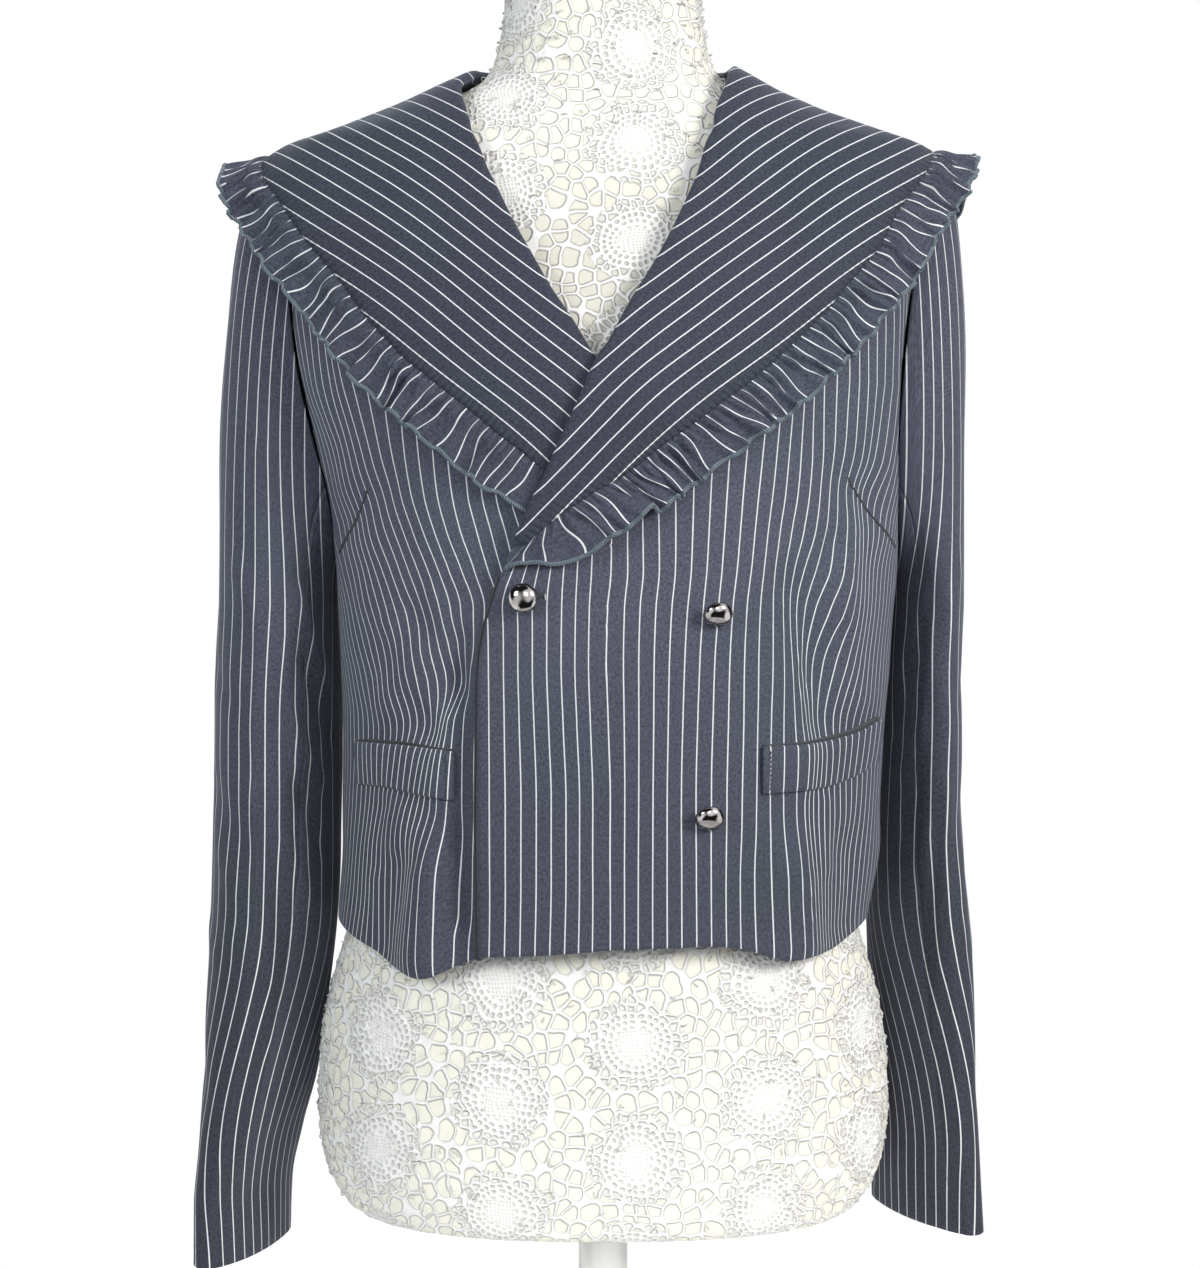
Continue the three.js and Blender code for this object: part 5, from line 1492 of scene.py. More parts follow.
# ---- Collar and ruffles ----
@dataclass
class CollarPiece:
    """The shawl collar: turned under at the neckline, rolled over its fold, and falling to its seam."""

    spacing: float = 2.3
    turn_steps: int = 8
    fall_steps: int = 34
    stand_steps: int = 4
    grain_corner: Pair = (72, 728)
    grain_slope: Pair = (0.616, 0.788)

    def cut(self, points: Array, distance: Array) -> Array:
        """Cut coordinates: on the bias in front, and square at the back.

        Args:
            points: places of the collar.
            distance: how far along the collar each rib lies.

        Returns:
            Across and along the pinstripes. In front they run down and outwards from the corner at the
            shoulder, and at the back they run straight down.
        """
        corner_x, corner_z = self.grain_corner
        wide, high = self.grain_slope
        sign = np.where(distance < COLLAR.back_middle, 1, -1)[:, None]
        x, z = points[..., 0] * sign, points[..., 2]
        across = corner_x + wide * (x - corner_x) - high * (z - corner_z)
        along = high * (x - corner_x) + wide * (z - corner_z)
        outer = -0.1 * np.logaddexp(0, (along + 10) / 14) * 14
        lower = -0.14 * np.logaddexp(0, (-165 - along) / 14) * 14
        sway = 1.5 * wobble(across * 0.6, along, 1.0 + sign, 80)
        front = points[..., 1] < 0
        u = np.where(front, across + outer + lower + sway, x)
        v = np.where(front, along, z - corner_z)
        return np.stack([u * sign, v + 300], axis=-1)

    def profile(self, rib: dict[str, Array], distance: Array) -> tuple[Array, Array]:
        """Middle line of the wall, as distances from the fold and heights, shape (ribs, places)."""
        middle = COLLAR.cloth / 2
        radius, width, stand = (rib[name][:, None] for name in ("radius", "width", "stand"))
        turn = np.linspace(0, math.pi, self.turn_steps + 1)[None]
        under = np.linspace(1, 0, self.stand_steps, endpoint=False)[None]
        fall = np.linspace(0, 1, self.fall_steps + 1)[None, 1:]
        from_fold = np.concatenate(
            [mix(radius, stand, under), radius * (1 - np.sin(turn)), mix(radius, width, fall)], axis=1
        )
        along = distance[:, None]
        loose = smooth(fall, 0.05, 0.6) * smooth(width, 14, 34)
        wave = 0.7 * wobble(along * 1.2, fall * width, 2.0, 46) * loose
        pucker = 0.35 * np.sin(along * 1.35 + 2 * np.sin(along * 0.21)) * smooth(fall, 0.86, 1)
        top = 2 * radius - middle + wave + pucker
        height = np.concatenate(
            [-middle + 0 * under * radius, -middle + radius * (1 - np.cos(turn)), top], axis=1
        )
        return from_fold, height

    def shell(self, name: str) -> Shell:
        """Returns the collar as a shell from the left front end to the right one."""
        distance = np.linspace(0, COLLAR.length, int(COLLAR.length / self.spacing) + 1)
        rib = COLLAR.ribs(distance)
        from_fold, height = self.profile(rib, distance)
        run, rise = np.gradient(from_fold, axis=1), np.gradient(height, axis=1)
        size = np.maximum(np.hypot(run, rise), 1e-6)
        half = COLLAR.cloth / 2
        faces = []
        for sign in (1, -1):
            away = from_fold - sign * half * rise / size
            up = height + sign * half * run / size
            faces.append(COLLAR.point(rib, away, up + COLLAR.lift(distance, rib, away)))
        across = rib["width"][:, None] - from_fold
        seam = np.stack([distance[:, None] + 0 * across, np.maximum(across, 0)], axis=-1)
        middle = COLLAR.point(rib, from_fold, height)
        return Shell(name, faces[0], faces[1], self.cut(middle, distance), seam=seam)


@dataclass
class Ruffle:
    """A strip gathered onto the collar's outer seam, and serged along its free edge."""

    side: int
    end: float
    shoulder: int
    calm: float
    calm_from: float
    calm_to: float
    cloth: float = 1.0
    seam_gap: float = 0.8
    width: float = 26.0
    wave_length: float = 8.0
    wave_height: float = 2.6
    rise: float = 1.6
    stretch: float = 1.13
    narrow_share: float = 0.45
    flare: Pair = (20.0, 40.0)
    fullness: float = 1.04
    turned_end: Pair = (48.0, 30.0)
    curl: float = 0.035  # how much the free edge's distance from the seam varies
    tuck: float = 3.0  # height of the tight gathers beside the seam
    steps: int = 20

    def frame(self, own: Array) -> tuple[Array, Array, Array, Array]:
        """The collar's outer seam under the strip.

        Args:
            own: distances from the strip's own end of the collar.

        Returns:
            Its place, and the directions out from the collar, up from it and along it.
        """
        distance = own if self.side > 0 else COLLAR.length - own
        rib = COLLAR.ribs(distance)
        width = rib["width"][:, None]
        zero = np.zeros_like(width)
        edge, inside = (COLLAR.point(rib, width - back, zero)[:, 0] for back in (0.0, 2.0))
        height = (2 * rib["radius"] - COLLAR.cloth / 2)[:, None] + COLLAR.lift(distance, rib, width)
        place = COLLAR.point(rib, width, height)[:, 0]
        up = WORN.normal(rib["seam"], rib["seamZ"], True)
        out = unit(edge - inside)
        along = unit(np.gradient(place, axis=0))
        return place, out, up, along

    def shape(self) -> tuple[Array, Array]:
        """Middle surface of the strip, in rows along the seam and columns out to the free edge.

        Returns:
            The points, and the strip's width at each row.
        """
        middle = (COLLAR.back_middle if self.side > 0 else COLLAR.length - COLLAR.back_middle) - 0.3
        count = int((middle - self.end) * self.stretch / 1.15)
        share = np.linspace(0, 1, count + 1)
        own = mix(self.end, middle, share)
        place, out, normal, along = self.frame(own)
        rows = COLLAR.table.column("distance")
        tip_row = rows[self.shoulder] if self.side > 0 else COLLAR.length - rows[-1 - self.shoulder]
        grown = mix(self.calm, 1, smooth(own, self.calm_from, self.calm_to))
        tip = np.exp(-(((own - tip_row) / self.flare[1]) ** 2))
        flare = np.radians(self.flare[0]) * tip
        turned = np.radians(self.turned_end[0]) * (1 - smooth(own, self.end, self.end + self.turned_end[1]))
        back = along * (-1 if self.side > 0 else 0)
        out = unit(out * np.cos(turned)[:, None] + back * np.sin(turned)[:, None])
        up = unit(normal - out * np.einsum("ij,ij->i", normal, out)[:, None])
        away = unit(out * np.cos(flare)[:, None] + up * np.sin(flare)[:, None])
        up = unit(up - away * np.einsum("ij,ij->i", up, away)[:, None])
        waves = round((middle - self.end) * self.stretch / self.wave_length)
        phase = (share * waves)[:, None]
        o = np.linspace(0, 1, self.steps + 1)[None]
        uneven = 1 + 0.35 * np.sin(1.7 * phase) + 0.2 * np.sin(0.61 * phase + 1)
        turn = 2 * math.pi * phase + np.sin(phase)
        swing = self.wave_height * uneven * np.sin(turn)
        long_wave = 1.5 * np.sin(math.pi * phase + 1.3 * np.sin(0.37 * phase)) * smooth(o, 0.3, 1)
        tight = np.abs(np.sin(math.pi * phase * 1.36 + 0.8 * np.sin(0.9 * phase))) ** 1.8 * uneven
        tucks = self.tuck * tight * np.exp(-(((o - 0.24) / 0.2) ** 2))
        body = swing * o * mix(1.1, 0.5, o) + long_wave + tucks
        lift = body * smooth(o, 0.0, 0.12) * (grown * (1 - 0.6 * tip))[:, None] + o * self.rise
        lean = 2.4 * np.sin(0.83 * phase + 0.7) + 1.5 * np.sin(2.3 * phase)
        drift = (lean * smooth(o, 0.05, 0.95) + 0.9 * np.cos(turn) * o) * (grown * (1 - 0.5 * tip))[:, None]
        reach = self.width * mix(self.narrow_share, 1, grown)
        ends = (smooth(share, 0, 0.02) * (1 - smooth(share, 0.98, 1)))[:, None]
        far = reach[:, None] * o * (1 + self.curl * np.sin(2.7 * phase) * ends)
        points = (place + out * self.seam_gap)[:, None] + away[:, None] * far[..., None]
        points = points + up[:, None] * lift[..., None] + along[:, None] * (drift * ends)[..., None]
        return points, reach

    def shell(self, name: str) -> Shell:
        """Returns the strip as a shell, its pinstripes running across its width."""
        points, reach = self.shape()
        facing = normals(points)
        facing = facing * np.sign(np.einsum("ijk,ik->ij", facing, self.frame_up(points)).mean())
        step = np.linalg.norm(np.diff(points[:, 0], axis=0), axis=1)
        length = running_length(step) * self.fullness
        o = np.linspace(0, 1, self.steps + 1)[None]
        u = length[:, None] + 0 * o
        warp = 2.4 * wobble(u, 0 * u, 3.0 + self.side, 27) + 2.2 * np.sin(math.pi * o + u * 0.11) * o
        cut = np.stack([u + warp, reach[:, None] * o * 1.06], axis=-1)
        seam = np.stack([u, reach[:, None] * o], axis=-1)
        half = self.cloth / 2
        return Shell(name, points + facing * half, points - facing * half, cut, seam=seam)

    @staticmethod
    def frame_up(points: Array) -> Array:
        """Rough outward direction at each row, away from the middle of the neck."""
        centre = np.array([0.0, 0.0, 560.0])
        return unit(points[:, 0] - centre)

    def serging(self, name: str, radius: float = 1.22) -> Object:
        """Returns the thread-wrapped free edge of the strip, ends included."""
        points, _ = self.shape()
        path = np.concatenate([points[0, :-1:3], points[:, -1]])
        path = path[np.concatenate([[True], np.linalg.norm(np.diff(path, axis=0), axis=1) > 0.25])]
        return tube(name, path, radius, 10)


# ---- Sleeves ----
SLEEVE_HEAD = Table(
    ("angle", "out", "fore", "drop", "rise"),
    ((0, 36, 0, -3, 190), (45, 27, 5, 6, 120), (90, 14, 7, 24, 66), (135, 6, 3, 14, 26), (180, 2.4, 0, 6, 6)),
)
RIGHT_SLEEVE = Table(
    ("z", "x", "y", "wide", "deep", "turn"),
    (
        (64, 205.5, 1, 14.5, 47, 20),
        (95, 205, 2, 15, 48, 20),
        (125, 201, 4, 19, 50, 18),
        (160, 196, 6, 26, 51, 15),
        (205, 192, 8, 30, 53, 11),
        (290, 187, 10, 34, 56, 5),
        (375, 186.5, 10, 34, 57, 2),
        (430, 186, 8, 32, 57, 0),
    ),
)
LEFT_SLEEVE = Table(
    RIGHT_SLEEVE.names,
    (
        (78, 187, 17, 14.5, 49, 27),
        (110, 186, 19, 16, 50, 25),
        (160, 185, 25, 19, 53, 20),
        (205, 185, 31, 21, 55, 16),
        (240, 184, 34, 21, 57, 14),
        (300, 181, 34, 20, 60, 11),
        (375, 181.5, 30, 19.5, 62, 8),
        (430, 185, 23, 18.5, 60, 5),
    ),
)
SLEEVE_FOLDS = Table(
    ("from", "z1", "to", "z2", "half", "height"),
    (
        (118, 440, 152, 384, 6, -3.4),
        (122, 404, 160, 350, 6, 3.0),
        (114, 368, 152, 326, 6, -3.2),
        (120, 334, 152, 290, 6, 2.6),
        (112, 304, 150, 258, 6, -2.6),
        (84, 520, 88, 300, 7, -2.6),
        (88, 330, 108, 66, 7, -3.2),
        (100, 300, 124, 240, 7, 2.2),
        (104, 250, 128, 180, 7, -2.2),
        (106, 420, 126, 330, 7, -2.4),
        (60, 455, 100, 400, 10, -3),
        (120, 430, 80, 350, 11, -3),
        (30, 330, 95, 290, 11, 2.5),
        (70, 250, 130, 215, 10, -2.5),
        (10, 190, 70, 150, 12, 2),
        (250, 440, 300, 380, 12, -3),
        (230, 330, 290, 300, 12, 2.5),
        (250, 240, 320, 200, 11, -2.5),
        (20, 400, 70, 372, 7, 1.3),
        (40, 300, 84, 262, 7, -1.3),
        (330, 420, 360, 340, 9, -1.2),
        (96, 330, 120, 250, 7, 1.4),
        (15, 250, 62, 232, 7, -1.2),
        (300, 330, 340, 280, 9, 1.4),
    ),
)


@dataclass
class Sleeve:
    """A two-piece sleeve, from the armhole to the cuff."""

    side: int
    table: Table
    cloth: float = 1.5
    rim_lift: float = 1.4
    curved_seam: float = 1.0
    seams: Pair = (128.0, 225.0)  # degrees round the sleeve
    seam_gap: float = 0.2
    columns: tuple[int, int] = (108, 40)
    rows: tuple[int, int] = (64, 128)
    slant: float = 0.03  # how far the pinstripes lean outwards for each millimetre down
    ease: float = 0.5
    flat_front: float = 1.14
    seam_radius: float = 0.55
    crumple: float = 0.6

    def armhole_point(self, turn: Array) -> Array:
        """Point of the sleeve's top edge, just over the armhole."""
        cosine, sine = np.cos(turn), np.sin(turn)
        z = ARMHOLE.middle + (ARMHOLE.half_height - self.curved_seam) * cosine
        front = sine >= 0
        reach = np.where(front, ARMHOLE.front, ARMHOLE.back) - self.curved_seam
        depth = reach * np.abs(sine) * (1 - ARMHOLE.egg * cosine)
        angle = np.where(front, *(WORN.depth_angle(depth, z, face) for face in Face))
        return WORN.above(self.side * angle, z, np.full_like(z, self.rim_lift))

    def read(self, z: Array) -> tuple[Array, ...]:
        """Reads the level section: its middle's x and y, its half width and depth, and its turn."""
        *places, turn = (self.table.read(z, name) for name in self.table.names[1:])
        return *places, np.radians(turn)

    def section(self, turn: Array, z: Array) -> Array:
        """Point of a level section: turn 0 is its outer side and 90 degrees its front."""
        x, y, wide, deep, twist = self.read(z)
        out, fore = wide * np.cos(turn), deep * np.sin(turn)
        x = x + out * np.cos(twist) + fore * np.sin(twist)
        y = y - fore * np.cos(twist) + out * np.sin(twist)
        return np.stack([self.side * x, y, z], axis=-1)

    def point(self, turn: Array, level: Array) -> Array:
        """Point of the sleeve: level 0 is the armhole, 1 the end of the head and 2 the cuff.

        Args:
            turn: radians round the sleeve.
            level: how far down it.

        Returns:
            A cubic Bezier curve through the head, and level sections below it.
        """
        first, last = self.table.rows[-1][0], self.table.rows[0][0]
        angle = np.abs((np.degrees(turn) + 180) % 360 - 180)
        out, fore, drop, rise = (SLEEVE_HEAD.read(angle, name) for name in SLEEVE_HEAD.names[1:])
        start = self.armhole_point(turn)
        end = self.section(turn, np.full_like(turn, first))
        forward = np.where(np.sin(turn) >= 0, -1, 1)
        leave = start + np.stack([self.side * out, forward * fore, -drop], axis=-1)
        arrive = end + np.stack([0 * turn, 0 * turn, rise], axis=-1)
        t = np.clip(level, 0, 1)[..., None]
        curve = start * (1 - t) ** 3 + 3 * t * (1 - t) * mix(leave, arrive, t) + end * t**3
        low = self.section(turn, mix(first, last, np.clip(level - 1, 0, 1)))
        return np.where((level > 1)[..., None], low, curve)

    def across(self, points: Array, turn: Array) -> Array:
        """Millimetres across the pinstripes, from the sleeve's outer line towards its front.

        Args:
            points: places of the sleeve.
            turn: their turn round it, which the result keeps close to.

        Returns:
            The way round the level section there. In the head, the section is that of its lower end,
            met by a ray from a point near the body through the place.
        """
        z = np.clip(points[..., 2], self.table.rows[0][0], self.table.rows[-1][0])
        middle_x, middle_y, wide, deep, twist = self.read(z)
        x, y = points[..., 0] * self.side - middle_x, points[..., 1] - middle_y
        out, fore = x * np.cos(twist) + y * np.sin(twist), x * np.sin(twist) - y * np.cos(twist)
        eye = -0.8 * wide
        run = (out - eye) / wide, fore / deep
        a = run[0] ** 2 + run[1] ** 2
        b = eye * run[0] / wide
        reach = (np.sqrt(b * b + 0.36 * a) - b) / np.maximum(a, 1e-9)
        met = np.arctan2(reach * run[1], eye / wide + reach * run[0])
        met = met + 2 * math.pi * np.round((turn - met) / (2 * math.pi))
        t = np.linspace(0, 1, 33)
        ring = met[..., None] * t
        middle = (ring[..., 1:] + ring[..., :-1]) / 2
        step = np.abs(np.diff(ring, axis=-1))
        high = smooth(z, 120, 260)[..., None]
        eased = 1 - self.ease * high * smooth(np.sin(middle), -0.5, 0.05)
        sideways = self.flat_front * wide[..., None] * np.sin(middle)
        arc = (step * np.hypot(sideways, deep[..., None] * np.cos(middle) * eased)).sum(axis=-1)
        return arc * np.sign(met) - self.slant * (self.table.rows[-1][0] - z)

    def folds(self, turn: Array, z: Array) -> Array:
        """Height of the sleeve's folds and uneven rest."""
        angle = np.degrees(turn) % 360
        total = np.zeros_like(z)
        for first, z1, second, z2, half, height in SLEEVE_FOLDS.rows:
            total += height * fold_share(angle, z, first, z1, second, z2, half)
        swing = wobble(angle * 0.9, z * 0.8, 6.0 + self.side, 74)
        near_seams = np.minimum(np.abs(angle - self.seams[0]), np.abs(angle - self.seams[1]))
        return self.crumple * total + 0.7 * swing * smooth(near_seams, 0, 14)

    def seam_line(self, name: str, degrees: float) -> Object:
        """Returns the sunk line of a long seam, as a dark thread between the two pieces: painted shade of the
        seam's groove.
        """
        level = np.linspace(0.35, 1.995, 150)
        turn = np.full_like(level, math.radians(degrees))
        path = self.point(turn, level)
        return tube(name, path, self.seam_radius, 6)

    def shell(self, name: str, start: float, end: float, columns: int) -> Shell:
        """One of the two pieces.

        Args:
            name: the piece's name.
            start: first angle in degrees.
            end: last angle in degrees.
            columns: how many steps round it.

        Returns:
            The shell. Its pinstripes run down it, and the cut's width is the way round each section.
        """
        head, arm = self.rows
        level = np.concatenate([np.arange(head) / head, 1 + np.arange(arm + 1) / arm])[:, None]
        turn = np.radians(np.linspace(start, end, columns + 1))[None]
        level, turn = np.broadcast_arrays(level, turn)
        here = self.point(turn, level)
        step = 0.004
        low = np.clip(level, step, 2 - step)
        around = self.point(turn + step, low) - self.point(turn - step, low)
        down = self.point(turn, low + step) - self.point(turn, low - step)
        facing = unit(np.cross(around, down)) * -self.side
        outer = here + facing * (self.folds(turn, here[..., 2]) * smooth(level, 0.1, 0.6))[..., None]
        across = self.across(here, turn)
        fall = np.linalg.norm(np.diff(here, axis=0), axis=-1).mean(axis=1)
        fall = running_length(fall)[:, None] + 0 * across
        return Shell(name, outer, outer - facing * self.cloth, np.stack([across + 2.0, fall], axis=-1))


# ---- Pocket welts ----
RIGHT_WELT = Table(
    ("x", "upper", "lower", "gape"),
    (
        (-132, 356, 334, 1.2),
        (-119, 356.5, 334.5, 3),
        (-106, 356.5, 333, 2.4),
        (-93, 355.5, 331, 1),
        (-80, 354, 329, 0.2),
    ),
)
LEFT_WELT = Table(
    RIGHT_WELT.names,
    (
        (83, 357, 333, 0.3),
        (100, 357, 333.5, 1.2),
        (117, 358.5, 335, 2.6),
        (133, 362, 338.5, 3.2),
        (149, 368, 344.5, 1.6),
    ),
)


@dataclass
class PocketWelt:
    """A folded strip on a front, sewn down along its lower edge and at its ends."""

    panel: FrontPanel
    table: Table
    clearance: float = 0.8
    cloth: float = 1.5
    steps: tuple[int, int] = (60, 18)

    def places(self, along: Array, up: Array) -> tuple[Array, Array, Array]:
        """Angle, height and stand-off of the welt at shares along it and up it."""
        x = mix(self.table.rows[0][0], self.table.rows[-1][0], along)
        z = mix(self.table.read(x, "lower"), self.table.read(x, "upper"), up)
        side = self.panel.side
        angle = side * WORN.reach_angle(side, side * x, z, Face.FRONT)
        return angle, z, self.table.read(x, "gape") * up

    def shell(self, name: str) -> Shell:
        """Returns the welt as a shell, its pinstripes in line with the front's."""
        along = np.linspace(0, 1, self.steps[0] + 1)[None]
        up = np.linspace(0, 1, self.steps[1] + 1)[:, None]
        angle, z, gape = self.places(*np.broadcast_arrays(along, up))
        soft = 0.5 * np.sin(math.pi * up) ** 0.7 + 0 * along
        outer = self.panel.point(angle, z, self.clearance + self.cloth + gape + soft)
        inner = self.panel.point(angle, z, self.clearance + gape + soft * 0.5)
        cut = self.panel.cut(angle, z) + np.array([1.4, 0.0])
        return Shell(name, outer, inner, cut, bulge=0.5, laid_flat=True)

    def mouth_shadow(self, name: str) -> Object:
        """Returns a dark tube along the welt's upper edge: painted shadow in the pocket's opening."""
        along = np.linspace(0.01, 0.99, 60)
        angle, z, gape = self.places(along, np.full_like(along, 1.0))
        path = self.panel.point(angle, z + 0.3, 0.5 + 0.35 * gape)
        return tube(name, path, 1.1 + 0.36 * gape, 8)

    def stitches(self, name: str, share: float, count: int) -> Object:
        """A row of short stitches up the welt near one end.

        Args:
            name: the piece's name.
            share: place along the welt.
            count: number of stitches.

        Returns:
            One object with all the stitches.
        """
        start = np.linspace(0.06, 0.94, count, endpoint=False)[:, None]
        up = start + np.linspace(0, 0.62 / count, 7)[None]
        angle, z, gape = self.places(np.full_like(up, share), up)
        arch = np.sin(np.linspace(0, math.pi, 7))[None] * 0.35
        path = self.panel.point(angle, z, self.clearance + self.cloth + gape + 0.35 + arch)
        return join([tube(f"{name}_{k}", path[k], 0.28, 6) for k in range(count)], name)


def join(objects: list[Object], name: str) -> Object:
    """Joins meshes into one object.

    Args:
        objects: the pieces, which are used up.
        name: name of the result.

    Returns:
        The joined object.
    """
    with bpy.context.temp_override(active_object=objects[0], selected_editable_objects=objects):
        bpy.ops.object.join()
    objects[0].name = name
    objects[0].data.name = name
    return objects[0]


# ---- Darts, buttons and small sewing ----
@dataclass
class Dart:
    """A bust dart that points up and inwards, seen as its stitched seam and small pulled ticks."""

    panel: FrontPanel
    outer_end: Pair
    tip: Pair
    bend: float = 1.6
    steps: int = 40
    ticks: int = 15

    def spot(self, x: Array, z: Array, lift: float) -> Array:
        """Point over the front at a sideways place and height."""
        side = self.panel.side
        angle = side * WORN.reach_angle(side, side * x, z, Face.FRONT)
        return self.panel.point(angle, z, lift)

    def seam(self, name: str) -> Object:
        """Returns the seam's ridge with its stitches."""
        t = np.linspace(0, 1, self.steps)
        x, z = mix(self.outer_end[0], self.tip[0], t), mix(self.outer_end[1], self.tip[1], t)
        path = self.spot(x, z - self.bend * np.sin(math.pi * t), 0.0)
        parts = [tube(f"{name}_line", path, 0.95 * (1.0 - 0.5 * t), 8)]
        run = np.array([self.tip[0] - self.outer_end[0], self.tip[1] - self.outer_end[1]])
        across = np.array([-run[1], run[0]]) / np.hypot(*run)
        for k in range(self.ticks):
            along = (k + 0.5) / self.ticks
            half = (0.9 + 0.5 * math.sin(2.4 * k)) * np.linspace(-1, 1, 5)
            x, z = (mix(self.outer_end[i], self.tip[i], along) + across[i] * half for i in (0, 1))
            path = self.spot(x, z - self.bend * math.sin(math.pi * along), 0.25)
            parts.append(tube(f"{name}_{k}", path, 0.3, 6))
        return join(parts, name)


@dataclass(frozen=True)
class Button:
    """A domed metal button on its shank."""

    name: str
    x: float
    z: float
    nod: float
    sink: float
    radius: float = 7.8
    dome: float = 4.6
    rim: float = 1.1
    shank_radius: float = 2.4
    shank_height: float = 2.8

    def facing(self) -> tuple[Array, Array]:
        """Where the button stands and the way it faces, nodded down by its own weight."""
        angle = WORN.reach_angle(1, np.array(self.x), np.array(self.z), Face.FRONT)
        normal = WORN.normal(angle, np.array(self.z))
        sideways = unit(np.array([normal[1], -normal[0], 0.0]))
        nod = math.radians(self.nod)
        tilt = np.cross(sideways, normal) * math.sin(nod)
        facing = min((normal * math.cos(nod) + tilt, normal * math.cos(nod) - tilt), key=lambda way: way[2])
        clear = 0.3 - self.sink + self.shank_radius * math.sin(nod)
        height = WORN.front_height(1, angle, np.array(self.z, float)) + clear
        return WORN.above(angle, np.array(self.z, float), height), facing

    def build(self) -> Object:
        """Makes the button: shank, flat underside, rolled rim and dome."""
        base, shank, half = self.shank_height, self.shank_radius, self.rim / 2
        foot = [[0.0, 0.0], [shank - 0.3, 0.0], [shank, 0.3], [shank, base - 0.3], [shank + 0.6, base]]
        roll = np.radians(np.linspace(-90, 0, 7))
        rim = [self.radius - half + half * np.cos(roll), base + half * (1 + np.sin(roll))]
        turn = np.radians(np.linspace(0, 86, 22))
        dome = [self.radius * np.cos(turn) ** 0.9, base + half + 0.4 + (self.dome + 0.1) * np.sin(turn)]
        top = [[0.0, base + self.rim + self.dome]]
        profile = np.concatenate([foot, np.stack(rim, axis=1), np.stack(dome, axis=1), top])
        place, facing = self.facing()
        return lathe(f"{self.name}_metal", profile, 56, facing, place)

    def thread(self) -> Object:
        """Returns the turns of thread round the foot of the shank."""
        place, facing = self.facing()
        turn = np.linspace(0, 12 * math.pi, 150)
        guide = unit(np.cross(facing, [0.0, 0, 1.0]))
        other = np.cross(facing, guide)
        radius = self.shank_radius + 0.3
        path = place + facing * (0.25 + turn[:, None] / (12 * math.pi) * 1.5)
        path = path + radius * (guide * np.cos(turn)[:, None] + other * np.sin(turn)[:, None])
        return tube(f"{self.name}_thread", path, 0.32, 6)


@dataclass
class WrapEdgeShadow:
    """A dark tube beside the wrap's free edge: painted shadow cast by the wrap onto the front beneath."""

    panel: FrontPanel
    ends: Pair = (246.0, 446.0)
    beyond: float = 0.9
    radius: float = 1.45

    def build(self, name: str) -> Object:
        """Returns the line, just under the wrap and just past its edge."""
        z = np.linspace(*self.ends, 120)
        angle = WORN.reach_angle(1, LEFT_EDGE.read(z, "x") - self.beyond, z, Face.FRONT)
        return tube(name, self.panel.point(angle, z, -2.0), self.radius, 8)


@dataclass
class Buttonhole:
    """The worked slit beside the wrap's button, with a bar tack at its end."""

    panel: FrontPanel
    x: float = -29.4
    z: float = 436.0
    slit: float = 5.0
    tack: float = 3.0

    def thread(self, name: str, start: Pair, end: Pair, radius: float) -> Object:
        """Returns a short straight thread on the front between two places."""
        t = np.linspace(0, 1, 9)
        x, z = mix(start[0], end[0], t), mix(start[1], end[1], t)
        angle = WORN.reach_angle(1, x, z, Face.FRONT)
        return tube(name, self.panel.point(angle, z, 0.15 + 0.2 * np.sin(math.pi * t)), radius, 8)

    def line(self, name: str) -> Object:
        """Returns the dark slit."""
        return self.thread(name, (self.x - self.slit, self.z), (self.x, self.z), 0.32)

    def bar(self, name: str) -> Object:
        """Returns the pale bar tack across its end."""
        half = self.tack / 2
        return self.thread(name, (self.x, self.z - half), (self.x, self.z + half), 0.42)


BUTTONS = (
    Button("button_wrap", -40, 436, 4, 0.6),
    Button("button_upper", 58, 429.5, 38, 0),
    Button("button_lower", 54, 323.5, 38, 0),
)


# ---- Dress form and stand ----
FORM = Table(
    ("z", "side", "front", "back"),
    (
        (89, 128, 78, 80),
        (91, 138, 86, 88),
        (100, 148, 92, 95),
        (122, 158, 99, 103),
        (150, 161, 103, 107),
        (188, 159, 105, 108),
        (215, 154, 104, 104),
        (250, 144, 101, 95),
        (300, 136, 92, 86),
        (360, 122, 82, 74),
        (400, 124, 88, 75),
        (450, 134, 99, 82),
        (500, 143, 109, 90),
        (545, 150, 113, 95),
        (590, 158, 104, 98),
        (630, 163, 87, 95),
        (662, 165, 75, 88),
        (680, 160, 68, 81),
        (691.5, 141, 64, 77),
        (702.5, 117, 59, 70),
        (713.5, 91, 54, 63),
        (724.5, 70, 51, 57),
        (734, 63, 51.5, 54),
        (748, 59, 49.5, 52),
        (770, 56, 48, 51),
        (800, 55, 48, 51),
    ),
)


